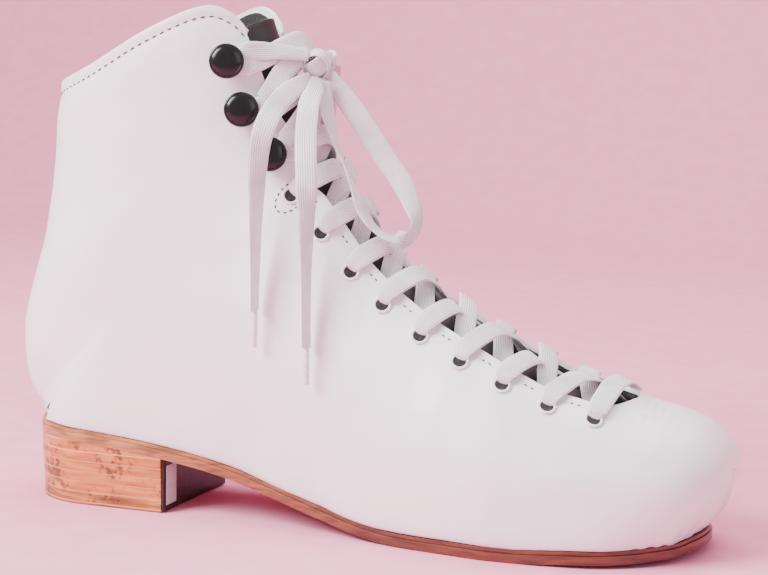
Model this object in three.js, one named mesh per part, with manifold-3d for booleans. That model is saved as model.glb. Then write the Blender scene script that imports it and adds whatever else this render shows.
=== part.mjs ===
// A white leather lace-up skate boot with a stacked heel, one right boot, drawn piece by piece.
// Millimetres. +X points to the toe, +Y to the inner (medial) side, +Z up, the floor is z = 0.
import * as THREE from 'three';
import Module from 'manifold-3d';
import { mergeVertices } from 'three/addons/utils/BufferGeometryUtils.js';

const wasm = await Module();
wasm.setup();

// ---------------------------------------------------------------- driving dimensions
const bootLength = 284.8;      // back of the counter to the front of the toe
const bootHeight = 192.5;      // floor to the highest point of the topline
const ballWidth = 88;          // widest girth of the upper, across the ball of the foot

const gap = 0.3;               // clearance between pieces that touch
const upperThickness = 1.8;
const stiffenerThickness = 0.9;
const liningThickness = 1.0;
const tongueDrop = 4.4;        // room under the facings for the lace to cross
const tongueLeather = 1.4;
const tonguePadding = 3.6;
const soleThickness = 3.1;
const weltThickness = 1.3;
const insoleThickness = 2.2;
const footbedThickness = 2.0;
const footbedMargin = 3.0;     // how far the footbed stays inside the insole board's edge
const weltReach = 1.0;         // how far the sole stands out past the upper's bottom edge
const lastingMargin = 12;      // upper leather turned under the insole

const heelSeatLength = 63.5;   // back of the heel to its breast
const topPieceThickness = 5;
const liftThickness = 4;
const fullLifts = 3;           // level lifts between the top piece and the wedge lift
const breastCoverThickness = 0.8;

const laceRadius = 1.2;        // the flat lace gathered into a round cord of the same section
const eyeletBore = 2.1;
const eyeletWall = 0.5;
const eyeletFlange = 4.0;
const flangeThickness = 0.5;
const flangeGap = 0.6;          // under a flat flange on the rounded leather
const hookStemRadius = 1.5;
const hookBaseRadius = 4.4;
const hookDiscRadius = 6.4;
const hookDiscHeight = 5.0;    // leather surface to the underside of the disc
const hookDiscDome = 2.0;
const heelScrewRadius = 2.5;

// ---------------------------------------------------------------- grading
// The profile below is drawn once, at the pattern size, and graded to the driving dimensions.
const pattern = { length: 284.8, height: 192.5, width: 88 };
const gradeX = (x) => x * bootLength / pattern.length;
const gradeY = (y) => y * ballWidth / pattern.width;
const gradeZ = (z) => z * bootHeight / pattern.height;

// The ball of the foot stands on the sole's layers. The profile is drawn with that stack at 5 mm.
const standHeight = soleThickness + weltThickness + 2 * gap;

// Stations run from the toe tip, along the foot, round the heel and up the shaft. Each one joins a
// point of the sole and back line to a point of the instep and shin line:
// sole x, sole z, instep x, instep z, half width, height of the widest place as a share.
const stations = [
  [274.3, 31.0, 274.3, 31.0, 0.0, 0.50],
  [273.3, 23.0, 273.6, 38.0, 14.0, 0.50],
  [269.5, 14.0, 270.0, 43.0, 24.0, 0.50],
  [263.0, 8.0, 264.0, 47.5, 32.0, 0.45],
  [253.0, 7.0, 254.5, 51.0, 37.5, 0.42],
  [240.0, 6.4, 241.5, 54.0, 41.0, 0.40],
  [224.0, 6.0, 229.0, 58.8, 43.2, 0.38],
  [207.0, 5.0, 214.0, 63.5, 44.0, 0.36],
  [189.0, 5.0, 199.5, 71.0, 43.0, 0.35],
  [170.0, 5.0, 185.5, 78.5, 40.5, 0.35],
  [150.0, 6.0, 171.5, 86.5, 37.5, 0.36],
  [129.0, 10.5, 157.5, 96.0, 34.5, 0.38],
  [107.0, 16.5, 145.5, 106.0, 32.5, 0.40],
  [84.0, 22.5, 136.5, 118.0, 31.5, 0.42],
  [60.0, 26.5, 129.0, 128.5, 31.0, 0.44],
  [36.0, 29.0, 123.0, 137.5, 30.5, 0.46],
  [14.0, 30.3, 118.5, 145.5, 30.5, 0.47],
  [0.0, 31.0, 115.0, 153.0, 30.5, 0.48],
  [-9.0, 44.0, 112.0, 160.0, 30.5, 0.48],
  [-10.5, 63.0, 109.5, 167.0, 30.5, 0.48],
  [-7.0, 80.0, 107.5, 173.0, 30.0, 0.49],
  [-1.8, 98.0, 105.0, 180.0, 29.5, 0.50],
  [1.6, 117.0, 102.5, 187.0, 29.2, 0.50],
  [4.2, 139.0, 100.0, 195.0, 29.0, 0.50],
  [6.6, 160.0, 97.5, 204.0, 29.0, 0.50],
  [9.0, 184.0, 95.0, 214.0, 29.0, 0.50],
].map(([sx, sz, dx, dz, w, m]) => [
  gradeX(sx), standHeight + gradeZ(sz - 5), gradeX(dx), standHeight + gradeZ(dz - 5), gradeY(w), m,
]);
const lastStation = stations.length - 1;
const toeEdgeStation = 3;      // where the flat sole begins
const heelCornerStation = 17;  // where the flat sole ends and the back begins
const throatStation = 5.3;     // front end of the lace opening

// The surface is faceted on rows of stations. Each low eyelet sits halfway between two rows.
const toeRows = [0, 0.6, 1.3, 2, 2.6, 3, 3.5, 4.2];
const facingRows = [throatStation, 6.36, 7.46, 8.55, 9.65, 10.72, 11.77, 12.85, 14.2, 15.8];
const footRows = [...toeRows, ...facingRows, 16.4, heelCornerStation];
const eyeletStations = facingRows.slice(1).map((u, k) => (u + facingRows[k]) / 2);
const hookStations = [16.8, 19.3, 21.65];
const eyeletLine = 2.55;       // place of the eyelets round the section, see sectionPoint
const hookLine = 2.57;         // place of the lowest hooks
const lowFacingEdge = 2.69;    // edge of the facings beside the eyelets
const highFacingEdge = 2.715;  // edge of the facings beside the lowest hooks
const facingLean = 0.022;      // how far facings and hooks lean back at each station further up
const earStation = 14.2;       // where one facing edge steps back to the other

// Seen from above, the sole is straight pieces with a round heel and a round toe.
const soleBack = gradeX(-1.5);
const soleTip = gradeX(266.5);
const heelRound = gradeX(29);
const toeRound = gradeX(44);
const soleOutline = [
  // x, centre line, half width
  [-2, 0, 28.5],
  [28, 0, 28.5],
  [60, 0, 28.5],
  [95, -0.5, 27],
  [130, -1.5, 30],
  [165, -2, 36.5],
  [195, -1, 41],
  [215, 1, 42],
  [235, 3, 41.5],
  [266.5, 6, 40],
].map(([x, c, w]) => [gradeX(x), gradeY(c), gradeY(w)]);

// The topline in side view, from the back seam over the peak to the front corner.
const topline = new THREE.CatmullRomCurve3([
  [-14, 150], [5, 160.5], [31, 170], [55, 183], [76, 192.3], [86, 190.8], [93.4, 182.7], [108, 160],
].map(([x, z]) => new THREE.Vector3(gradeX(x), 0, gradeZ(z))));
const toplinePoints = topline.getPoints(120);

// ---------------------------------------------------------------- curves
// Catmull-Rom interpolation over a table whose rows are one station apart.
function interpolate(table, u) {
  const count = table.length;
  const t = THREE.MathUtils.clamp(u, 0, count - 1);
  const i = Math.min(Math.floor(t), count - 2);
  const f = t - i;
  const row = (k) => table[THREE.MathUtils.clamp(k, 0, count - 1)];
  const [a, b, c, d] = [row(i - 1), row(i), row(i + 1), row(i + 2)];
  return b.map((_, k) => 0.5 * (2 * b[k] + (c[k] - a[k]) * f
    + (2 * a[k] - 5 * b[k] + 4 * c[k] - d[k]) * f * f
    + (3 * b[k] - a[k] - 3 * c[k] + d[k]) * f * f * f));
}

// Linear interpolation in a table sorted by its first column.
function lookUp(table, x) {
  const last = table.length - 1;
  if (x <= table[0][0]) return table[0];
  if (x >= table[last][0]) return table[last];
  const i = table.findIndex((row) => row[0] > x);
  const f = (x - table[i - 1][0]) / (table[i][0] - table[i - 1][0]);
  return table[i].map((value, k) => THREE.MathUtils.lerp(table[i - 1][k], value, f));
}

const soleCentre = (x) => lookUp(soleOutline, x)[1];

// Half width of the sole's outline at x, drawn in by inset.
function soleHalfWidth(x, inset = 0) {
  const full = lookUp(soleOutline, x)[2] - inset;
  const back = Math.max(0, (soleBack + heelRound - x) / (heelRound - inset));
  const front = Math.max(0, (x - soleTip + toeRound) / (toeRound - inset));
  return full * Math.sqrt(Math.max(0, 1 - back ** 2)) * Math.sqrt(Math.max(0, 1 - front ** 2.2));
}

const toplineHeight = (x) => lookUp(toplinePoints.map((p) => [p.x, p.z]), x)[1];

// The profile at any station; its sole never dips below the ball of the foot.
function stationRow(u) {
  const row = interpolate(stations, u);
  row[1] = Math.max(row[1], standHeight);
  return row;
}

// The sole line and the instep line moved inwards by inset, each square to its own direction.
function endPoints(u, inset) {
  const step = 0.25;
  const here = stationRow(u);
  const before = stationRow(Math.max(0, u - step));
  const after = stationRow(Math.min(lastStation, u + step));
  const soleRun = new THREE.Vector2(after[0] - before[0], after[1] - before[1]).normalize();
  const instepRun = new THREE.Vector2(after[2] - before[2], after[3] - before[3]).normalize();
  const sole = new THREE.Vector2(here[0] + soleRun.y * inset, here[1] - soleRun.x * inset);
  const instep = new THREE.Vector2(here[2] - instepRun.y * inset, here[3] + instepRun.x * inset);
  if (u < 1) {
    const tip = new THREE.Vector2(stations[0][0] - inset, stations[0][1]);
    sole.lerp(tip, 1 - u);
    instep.lerp(tip, 1 - u);
  }
  return { sole, instep, halfWidth: Math.max(0, here[4] - inset), widest: here[5] };
}

// How much of the flat sole a station has: none in front of the toe edge or behind the heel corner.
function soleFade(u) {
  const atToe = THREE.MathUtils.clamp((u - toeEdgeStation + 0.4) / 0.8, 0, 1);
  const atHeel = THREE.MathUtils.clamp((heelCornerStation - u) / 0.5, 0, 1);
  return Math.min(atToe, atHeel);
}

// One point of the boot's surface. u is the station, v the place round half the section:
// 0 the middle of the sole or back, 1 the sole's edge, 2 the widest place, 3 the instep line.
// side is -1 for the outer side of the foot and +1 for the inner side.
function sectionPoint(u, v, side, inset) {
  const { sole, instep, halfWidth, widest } = endPoints(u, inset);
  const edge = (soleHalfWidth(stationRow(u)[0], weltReach) - inset) * soleFade(u);
  const bottom = THREE.MathUtils.clamp(edge, 0, halfWidth * 0.985);
  const centreFade = THREE.MathUtils.clamp((heelCornerStation - u) / 6, 0, 1);
  const centre = soleCentre(stationRow(u)[0]) * centreFade;
  let across;
  let up;
  if (v <= 1) {
    across = bottom * v;
    up = 0;
  } else if (v <= 2) {
    const angle = (v - 1) * Math.PI / 2;
    across = bottom + (halfWidth - bottom) * Math.sin(angle);
    up = widest * (1 - Math.cos(angle));
  } else {
    const angle = (v - 2) * Math.PI / 2;
    across = halfWidth * Math.cos(angle);
    up = widest + (1 - widest) * Math.sin(angle);
  }
  const inPlane = sole.clone().lerp(instep, up);
  return new THREE.Vector3(inPlane.x, centre + side * across, inPlane.y);
}

// Outward normal of the boot's surface.
function sectionNormal(u, v, side) {
  const step = 0.02;
  const alongU = sectionPoint(u + step, v, side, 0).sub(sectionPoint(u - step, v, side, 0));
  const alongV = sectionPoint(u, v + step, side, 0).sub(sectionPoint(u, v - step, side, 0));
  return alongV.cross(alongU).multiplyScalar(-side).normalize();
}

// Edge of the facings round the section: it steps back at the ear, above the last low eyelet, and
// leans back beside the hooks.
const lean = (u) => facingLean * Math.max(0, u - hookStations[0]);
function facingEdge(u) {
  const step = THREE.MathUtils.smoothstep(u, earStation, earStation + 0.8);
  return THREE.MathUtils.lerp(lowFacingEdge, highFacingEdge, step) - lean(u);
}

// Station at which a line of the surface meets the topline, lowered by drop.
function toplineStation(placeAt, drop = 0) {
  let low = heelCornerStation;
  let high = lastStation;
  for (let k = 0; k < 30; k += 1) {
    const middle = (low + high) / 2;
    const point = sectionPoint(middle, placeAt(middle), -1, 0);
    if (point.z + drop < toplineHeight(point.x)) low = middle;
    else high = middle;
  }
  return low;
}

// ---------------------------------------------------------------- solids
const material = (color, roughness, metalness = 0) => new THREE.MeshStandardMaterial({
  color, roughness, metalness,
});
const whiteLeather = material(0xf4f4f6, 0.42);
const blackLining = material(0x1a1718, 0.85);
const toeLining = material(0xd9cdbb, 0.85);
const soleLeather = material(0x8a4b2b, 0.55);
const stackedLeather = material(0xc98a56, 0.6);
const topPieceRubber = material(0xa9673a, 0.7);
const boardTan = material(0xb79468, 0.9);
const cork = material(0xa77d4f, 0.95);
const foam = material(0xd8d2c0, 0.95);
const steel = material(0x9a9ca0, 0.35, 1);
const blackEnamel = material(0x111112, 0.15, 0.2);
const whiteEnamel = material(0xf2f2f2, 0.3, 0.1);
const laceCotton = material(0xf1eff0, 0.9);
const clearTip = material(0xe9e9ea, 0.25);
const breastBlack = material(0x191718, 0.5);
const labelWhite = material(0xe6e6e4, 0.7);

const boot = new THREE.Group();

function addPiece(name, geometry, look) {
  const mesh = new THREE.Mesh(geometry, look);
  mesh.name = name;
  boot.add(mesh);
  return mesh;
}

// A closed geometry from triangles of point numbers, turned so that its faces point outwards.
function closedGeometry(points, triangles) {
  let volume = 0;
  for (const [a, b, c] of triangles) {
    volume += points[a].dot(points[b].clone().cross(points[c]));
  }
  const faces = volume > 0 ? triangles : triangles.map(([a, b, c]) => [a, c, b]);
  const geometry = new THREE.BufferGeometry();
  geometry.setAttribute('position', new THREE.Float32BufferAttribute(
    points.flatMap((p) => [p.x, p.y, p.z]), 3));
  geometry.setIndex(faces.flat());
  return geometry;
}

// A wall between two skins over a grid of rows and columns. place(i, j, skin) gives a point of the
// outer (0) or inner (1) skin, keep(i, j) says which cells the piece has. Points of the outer skin
// that fall together, as at the toe tip or down a closed seam, are one point, and every free edge
// of the skins is joined by a rim.
function wallGeometry(rows, columns, place, keep = () => true) {
  const points = [];
  const numberOf = new Map();
  const grid = [];
  for (let i = 0; i <= rows; i += 1) {
    grid.push([]);
    for (let j = 0; j <= columns; j += 1) {
      const outside = place(i, j, 0);
      const key = outside.toArray().map((value) => Math.round(value * 200)).join(' ');
      if (!numberOf.has(key)) {
        numberOf.set(key, points.length);
        points.push(outside, place(i, j, 1));
      }
      grid[i].push(numberOf.get(key));
    }
  }
  const skin = [];
  for (let i = 0; i < rows; i += 1) {
    for (let j = 0; j < columns; j += 1) {
      if (keep(i, j)) {
        const [a, b, c, d] = [grid[i][j], grid[i + 1][j], grid[i + 1][j + 1], grid[i][j + 1]];
        skin.push([a, b, c], [a, c, d]);
      }
    }
  }
  const faces = skin.filter(([a, b, c]) => a !== b && b !== c && a !== c);
  const edges = new Set(faces.flatMap(([a, b, c]) => [`${a} ${b}`, `${b} ${c}`, `${c} ${a}`]));
  const triangles = [];
  for (const [a, b, c] of faces) {
    triangles.push([a, b, c], [a + 1, c + 1, b + 1]);
    for (const [p, q] of [[a, b], [b, c], [c, a]]) {
      if (!edges.has(`${q} ${p}`)) triangles.push([q, p, p + 1], [q, p + 1, q + 1]);
    }
  }
  return closedGeometry(points, triangles);
}

// A copy with nothing but positions, so that equal corners can be merged.
function bareGeometry(geometry) {
  const bare = geometry.clone();
  bare.deleteAttribute('normal');
  bare.deleteAttribute('uv');
  return bare;
}

function toManifold(geometry) {
  const merged = mergeVertices(bareGeometry(geometry), 1e-4);
  return new wasm.Manifold(new wasm.Mesh({
    numProp: 3,
    vertProperties: new Float32Array(merged.attributes.position.array),
    triVerts: new Uint32Array(merged.index.array),
  }));
}

function fromManifold(solid) {
  const mesh = solid.getMesh();
  const geometry = new THREE.BufferGeometry();
  geometry.setAttribute('position', new THREE.BufferAttribute(mesh.vertProperties, 3));
  geometry.setIndex(new THREE.BufferAttribute(mesh.triVerts, 1));
  return geometry;
}

// Bores a geometry with a list of round cutters.
function bored(geometry, cutters) {
  return fromManifold(cutters.reduce((solid, cutter) => solid.subtract(toManifold(cutter)),
    toManifold(geometry)));
}

// Moves a geometry built round +Z to a place and turns its +Z to a direction.
function turnedTo(geometry, place, direction) {
  const turn = new THREE.Quaternion().setFromUnitVectors(new THREE.Vector3(0, 0, 1), direction);
  return geometry.applyQuaternion(turn).translate(place.x, place.y, place.z);
}

function rod(radius, from, to, sides = 10) {
  const axis = to.clone().sub(from);
  const cylinder = new THREE.CylinderGeometry(radius, radius, axis.length(), sides);
  cylinder.rotateX(Math.PI / 2);
  return turnedTo(cylinder, from.clone().lerp(to, 0.5), axis.normalize());
}

// ---------------------------------------------------------------- bottom stack
// Heights above the sole line, which is the upper's bottom face: the sole lies below, the insole
// and footbed lie above. Each slab has the sole's outline drawn in by its own inset.
const solePoints = footRows
  .filter((u) => u >= toeEdgeStation && u < heelCornerStation)
  .map((u) => stationRow(u).slice(0, 2))
  .reverse();

function soleLine(x) {
  const back = stationRow(heelCornerStation).slice(0, 2);
  return lookUp([back, ...solePoints, [soleTip, standHeight + gradeZ(3.6)]], x)[1];
}

// Places along the sole: close together round the heel and the toe, at the stations between.
function soleStops(from, to, inset) {
  const roundSteps = 6;
  const stops = [];
  for (let k = 0; k <= roundSteps; k += 1) {
    const share = 1 - Math.cos(k * Math.PI / 2 / roundSteps);
    stops.push(soleBack + inset + (heelRound - inset) * share);
    stops.push(soleTip - inset - (toeRound - inset) * share);
  }
  stops.push(...solePoints.map(([x]) => x), from, to);
  const sorted = stops.filter((x) => x >= from && x <= to).sort((a, b) => a - b);
  return sorted.filter((x, k) => k === 0 || x - sorted[k - 1] > 0.05);
}

function slab(from, to, inset, top, bottom) {
  const stops = soleStops(Math.max(from, soleBack + inset), Math.min(to, soleTip - inset), inset);
  return wallGeometry(stops.length - 1, 1, (i, j, skin) => {
    const x = stops[i];
    const half = soleHalfWidth(x, inset);
    return new THREE.Vector3(x, soleCentre(x) + (2 * j - 1) * half, (skin === 0 ? top : bottom)(x));
  });
}

const above = (height) => (x) => soleLine(x) + height;
const level = (height) => () => height;
const weltTop = -gap;
const weltBottom = weltTop - weltThickness;
const outsoleTop = weltBottom - gap;
const outsoleBottom = outsoleTop - soleThickness;
const insoleBottom = upperThickness + 2 * gap;
const insoleTop = insoleBottom + insoleThickness;
const footbedBottom = insoleTop + gap;
const footbedTop = footbedBottom + footbedThickness;
const heelBreast = soleBack + heelSeatLength;
const seat = (x) => Math.max(0, soleLine(x) + outsoleBottom - gap);
const whole = [soleBack, soleTip];

const screwPlace = new THREE.Vector3(gradeX(27), 0, 0);
const heelScrew = {
  from: screwPlace.clone().setZ(topPieceThickness + liftThickness),
  to: screwPlace.clone().setZ(soleLine(screwPlace.x) + insoleTop),
};
const screwCutter = rod(heelScrewRadius + gap, heelScrew.from.clone().setZ(heelScrew.from.z - gap),
  heelScrew.to.clone().setZ(heelScrew.to.z + 1));

addPiece('outsole', bored(slab(...whole, 0, above(outsoleTop), above(outsoleBottom)),
  [screwCutter]), soleLeather);
addPiece('welt', bored(slab(...whole, 0.4, above(weltTop), above(weltBottom)),
  [screwCutter]), soleLeather);
const insoleInset = weltReach + upperThickness + stiffenerThickness + 2 * gap + 0.1;
addPiece('insole_board', bored(slab(...whole, insoleInset, above(insoleTop),
  above(insoleBottom)), [screwCutter]), boardTan);
addPiece('footbed', slab(...whole, insoleInset + footbedMargin, above(footbedTop),
  above(footbedBottom)), toeLining);

// Under the insole the turned-in upper leaves a hollow: cork fills it, with the steel shank.
const fillerInset = weltReach + lastingMargin + 2.5;
const shankFrom = gradeX(62);
const shankTo = gradeX(150);
const shankHalfWidth = 7;
const fillerTop = above(insoleBottom - gap);
const heelFillerEnd = shankFrom - gap;
addPiece('heel_filler', bored(slab(soleBack, heelFillerEnd, fillerInset, fillerTop, above(0)),
  [screwCutter]), boardTan);
addPiece('cork_filler', slab(shankTo + gap, soleTip, fillerInset, fillerTop, above(0)), cork);
const shankStops = soleStops(shankFrom, shankTo, 0);
addPiece('shank', wallGeometry(shankStops.length - 1, 1, (i, j, skin) => new THREE.Vector3(
  shankStops[i], soleCentre(shankStops[i]) + (2 * j - 1) * shankHalfWidth,
  skin === 0 ? fillerTop(shankStops[i]) : soleLine(shankStops[i]))), steel);

// ---------------------------------------------------------------- heel
function heelLift(name, bottom, top, inset, look) {
  addPiece(name, bored(slab(soleBack, heelBreast, inset, top, level(bottom)), [screwCutter]), look);
}
heelLift('top_piece', 0, level(topPieceThickness - gap), 1.0, topPieceRubber);
for (let k = 0; k < fullLifts; k += 1) {
  const bottom = topPieceThickness + k * liftThickness;
  heelLift(`heel_lift_${k + 1}`, bottom, level(bottom + liftThickness - gap),
    0.9 - 0.2 * k, stackedLeather);
}
heelLift(`heel_lift_${fullLifts + 1}`, topPieceThickness + fullLifts * liftThickness, seat,
  0.2, stackedLeather);
addPiece('heel_screw', rod(heelScrewRadius, heelScrew.from, heelScrew.to), steel);

const breastHalfWidth = soleHalfWidth(heelBreast) - 1;
const breastTop = soleLine(heelBreast + 2) + outsoleBottom - gap;
const breastCover = new THREE.BoxGeometry(breastCoverThickness, 2 * breastHalfWidth, breastTop - 0.5);
breastCover.translate(heelBreast + gap + breastCoverThickness / 2, 0, (breastTop + 0.5) / 2);
addPiece('breast_cover', breastCover, breastBlack);
const labelSize = { thick: 0.3, wide: 9, tall: 15 };
const sizeLabel = new THREE.BoxGeometry(labelSize.thick, labelSize.wide, labelSize.tall);
sizeLabel.translate(heelBreast + 2 * gap + breastCoverThickness + labelSize.thick / 2,
  -breastHalfWidth + labelSize.wide / 2 + 2, breastTop / 2);
addPiece('size_label', sizeLabel, labelWhite);

// ---------------------------------------------------------------- lacing hardware
// A hole in the facing: where it is and which way is out.
const holeLine = (u) => (u < hookStations[0] ? eyeletLine : hookLine - lean(u));
function facingPlace(u, side) {
  const at = sectionPoint(u, holeLine(u), side, 0);
  const out = sectionNormal(u, holeLine(u), side);
  return { at, out };
}
const sides = [['lateral', -1], ['medial', 1]];
const wallDepth = upperThickness + stiffenerThickness + liningThickness + 2 * gap;
const deep = (place, depth) => place.at.clone().addScaledVector(place.out, -depth);
const holes = { lateral: [], medial: [] };

function lathe(profile, segments) {
  const geometry = new THREE.LatheGeometry(profile.map(([r, z]) => new THREE.Vector2(r, z)), segments);
  return geometry.rotateX(Math.PI / 2);
}

for (const [sideName, side] of sides) {
  eyeletStations.forEach((u, k) => {
    const place = facingPlace(u, side);
    const tube = eyeletBore + eyeletWall;
    const eyelet = lathe([
      [eyeletBore, -wallDepth - gap],
      [tube, -wallDepth - gap],
      [tube, flangeGap],
      [eyeletFlange, flangeGap],
      [eyeletBore, flangeGap + flangeThickness],
      [eyeletBore, -wallDepth - gap],
    ], 8);
    addPiece(`eyelet_${sideName}_${k + 1}`, turnedTo(eyelet, place.at, place.out), whiteEnamel);
    holes[sideName].push(rod(tube + gap, deep(place, wallDepth + 2), deep(place, -3), 8));
  });
  hookStations.forEach((u, k) => {
    const place = facingPlace(u, side);
    const hook = lathe([
      [0, -wallDepth - gap],
      [hookStemRadius, -wallDepth - gap],
      [hookStemRadius, flangeGap],
      [hookBaseRadius, flangeGap],
      [hookStemRadius, flangeGap + flangeThickness],
      [hookStemRadius, hookDiscHeight],
      [hookDiscRadius, hookDiscHeight],
      [hookDiscRadius * 0.7, hookDiscHeight + hookDiscDome * 0.8],
      [0, hookDiscHeight + hookDiscDome],
    ], 10);
    addPiece(`hook_${sideName}_${k + 1}`, turnedTo(hook, place.at, place.out), blackEnamel);
    holes[sideName].push(rod(hookStemRadius + gap, deep(place, wallDepth + 2), deep(place, -3), 6));
  });
}

// ---------------------------------------------------------------- the grid of the boot
// Every layer of the upper lies on one grid, so that their facets run parallel. Columns are counted
// from the middle of the sole or back to the instep line, negative on the outer side.
const stiffenerInset = upperThickness + gap;
const liningInset = stiffenerInset + stiffenerThickness + gap;
const liningInside = liningInset + liningThickness;

// Place round the section at which the linings clear the insole board and the footbed.
function clearOfInsole(u) {
  const { sole, instep, widest } = endPoints(u, liningInside);
  const wanted = soleLine(sole.x) + footbedBottom + 0.6;
  const seamFree = u > throatStation ? 1.015 : 1;
  if (sole.y >= wanted || u > heelCornerStation) return seamFree;
  const share = (wanted - sole.y) / (instep.y - sole.y);
  const angle = Math.acos(THREE.MathUtils.clamp(1 - share / widest, -1, 1));
  return Math.max(seamFree, 1 + angle / (Math.PI / 2));
}

// Place round the section at which the upper ends under the insole.
function marginLine(u) {
  const edge = soleHalfWidth(stationRow(u)[0], weltReach);
  return edge > lastingMargin + 1 ? 1 - lastingMargin / edge : 0.15;
}

const clearColumn = 3;
const widestColumn = 5;
const facingColumn = 9;
const instepColumn = 10;
function columnPlaces(u) {
  const clear = clearOfInsole(u);
  const places = [0, marginLine(u), 1, clear, (clear + 2) / 2, 2];
  for (let k = 1; k <= facingColumn - widestColumn; k += 1) {
    places.push(THREE.MathUtils.lerp(2, facingEdge(u), k / (facingColumn - widestColumn)));
  }
  places.push(3);
  return places;
}

const shaftRows = 6;
const topRow = footRows.length - 1 + shaftRows;
const throatRow = footRows.indexOf(throatStation);
const cornerRow = footRows.indexOf(heelCornerStation);
const toeEdgeRow = footRows.indexOf(toeEdgeStation);

// Above the heel corner the rows close up towards the topline, column by column.
const toplineAt = new Map();
function rowStation(row, column) {
  if (row < footRows.length) return footRows[row];
  if (!toplineAt.has(column)) {
    toplineAt.set(column, toplineStation((u) => columnPlaces(u)[column]));
  }
  const share = (row - cornerRow) / shaftRows;
  return THREE.MathUtils.lerp(heelCornerStation, toplineAt.get(column), share);
}

// A point of the grid. A whole row and column is a point of the surface, and a place between them
// lies on the facet.
function gridPoint(row, column, inset) {
  const side = column < 0 ? -1 : 1;
  const across = Math.abs(column);
  const corner = (i, j) => {
    const u = rowStation(i, j);
    return sectionPoint(u, columnPlaces(u)[j], side, inset);
  };
  const [i, j] = [Math.min(Math.floor(row), topRow - 1), Math.min(Math.floor(across), instepColumn - 1)];
  const low = corner(i, j).lerp(corner(i, j + 1), across - j);
  return low.lerp(corner(i + 1, j).lerp(corner(i + 1, j + 1), across - j), row - i);
}

function span(from, to) {
  const whole = [];
  for (let k = Math.ceil(from + 1e-6); k < to - 1e-6; k += 1) whole.push(k);
  return [from, ...whole, to];
}

// A layer of the boot: rows and columns of the grid, how deep it lies and how thick it is.
function layer(rows, columns, inset, thickness, keep) {
  return wallGeometry(rows.length - 1, columns.length - 1,
    (i, j, skin) => gridPoint(rows[i], columns[j], skin === 0 ? inset : inset + thickness), keep);
}

const allColumns = span(-instepColumn, instepColumn);
const upper = layer(span(0, topRow), allColumns, 0, upperThickness, (i, j) => {
  const inSlit = (j === 0 || j === allColumns.length - 2) && i >= throatRow;
  const inHollow = Math.abs(j + 0.5 - instepColumn) < 1 && i >= toeEdgeRow && i < cornerRow;
  return !inSlit && !inHollow;
});
addPiece('upper', bored(upper, [...holes.lateral, ...holes.medial]), whiteLeather);

const mirrored = (columns, side) => (side > 0 ? columns : columns.map((c) => -c).reverse());
for (const [sideName, side] of sides) {
  const lining = layer(span(throatRow, topRow - 0.08), mirrored(span(clearColumn, 8.97), side),
    liningInset, liningThickness);
  addPiece(`quarter_lining_${sideName}`, bored(lining, holes[sideName]), blackLining);
  const pad = layer(span(cornerRow + 2.4, topRow - 0.4), mirrored(span(3.4, 6.8), side),
    stiffenerInset, stiffenerThickness);
  addPiece(`ankle_pad_${sideName}`, pad, foam);
}

// Over the toe a layer runs from one side across the instep line to the other.
const overToe = [
  ...span(-instepColumn, -clearColumn).reverse(),
  ...span(clearColumn, instepColumn - 1).reverse(),
];
const puffEndRow = 7;
addPiece('vamp_lining', layer(span(0, throatRow - 0.05).reverse(), overToe,
  liningInset, liningThickness), toeLining);
addPiece('toe_puff', layer(span(0, puffEndRow).reverse(), overToe,
  stiffenerInset, stiffenerThickness), boardTan);

// The counter wraps the heel: its middle cells are there only behind the heel corner.
const counterRows = span(cornerRow - 3.6, cornerRow + 2.2);
const counterColumns = [-5.4, -5, -4, -clearColumn, 0, clearColumn, 4, 5, 5.4];
addPiece('heel_counter', layer(counterRows, counterColumns, stiffenerInset, stiffenerThickness,
  (i, j) => counterRows[i] >= cornerRow || Math.abs(j + 0.5 - 4) > 1), boardTan);

// The tongue hangs under the facings from its stitched base at the throat.
const tongueBase = 4.9;
const tongueTop = toplineStation(() => 2.62, -2);
const tongueSteps = 11;
const tongueStations = span(0, tongueSteps)
  .map((k) => THREE.MathUtils.lerp(tongueBase, tongueTop, k / tongueSteps));
const tongueColumns = span(-3, 3);
const tongueInset = liningInside + tongueDrop;
function tongueLayer(name, inset, thickness, skipped, look) {
  const rows = tongueStations.slice(skipped, tongueStations.length - skipped);
  const geometry = wallGeometry(rows.length - 1, tongueColumns.length - 1, (i, j, skin) => {
    const reach = THREE.MathUtils.lerp(0.16, 0.24, THREE.MathUtils.smoothstep(rows[i], 5, 8));
    const around = 3 - Math.abs(tongueColumns[j]) * reach;
    return sectionPoint(rows[i], around, tongueColumns[j] < 0 ? -1 : 1,
      skin === 0 ? inset : inset + thickness);
  });
  addPiece(name, geometry, look);
}
const paddingInset = tongueInset + tongueLeather + gap;
tongueLayer('tongue_leather', tongueInset, tongueLeather, 0, whiteLeather);
tongueLayer('tongue_padding', paddingInset, tonguePadding, 1, foam);
tongueLayer('tongue_lining', paddingInset + tonguePadding + gap, liningThickness, 0, blackLining);

// ---------------------------------------------------------------- lace
// A cord along chosen points: the section turns from one point to the next.
class Route extends THREE.Curve {
  constructor(points) {
    super();
    this.points = points;
  }

  getPoint(t) {
    const place = t * (this.points.length - 1);
    const i = Math.min(Math.floor(place), this.points.length - 2);
    return this.points[i].clone().lerp(this.points[i + 1], place - i);
  }

  getPointAt(t) {
    return this.getPoint(t);
  }

  getTangentAt(t) {
    const last = this.points.length - 1;
    const i = Math.round(t * last);
    const after = this.points[Math.min(i + 1, last)];
    return after.clone().sub(this.points[Math.max(i - 1, 0)]).normalize();
  }
}

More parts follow.
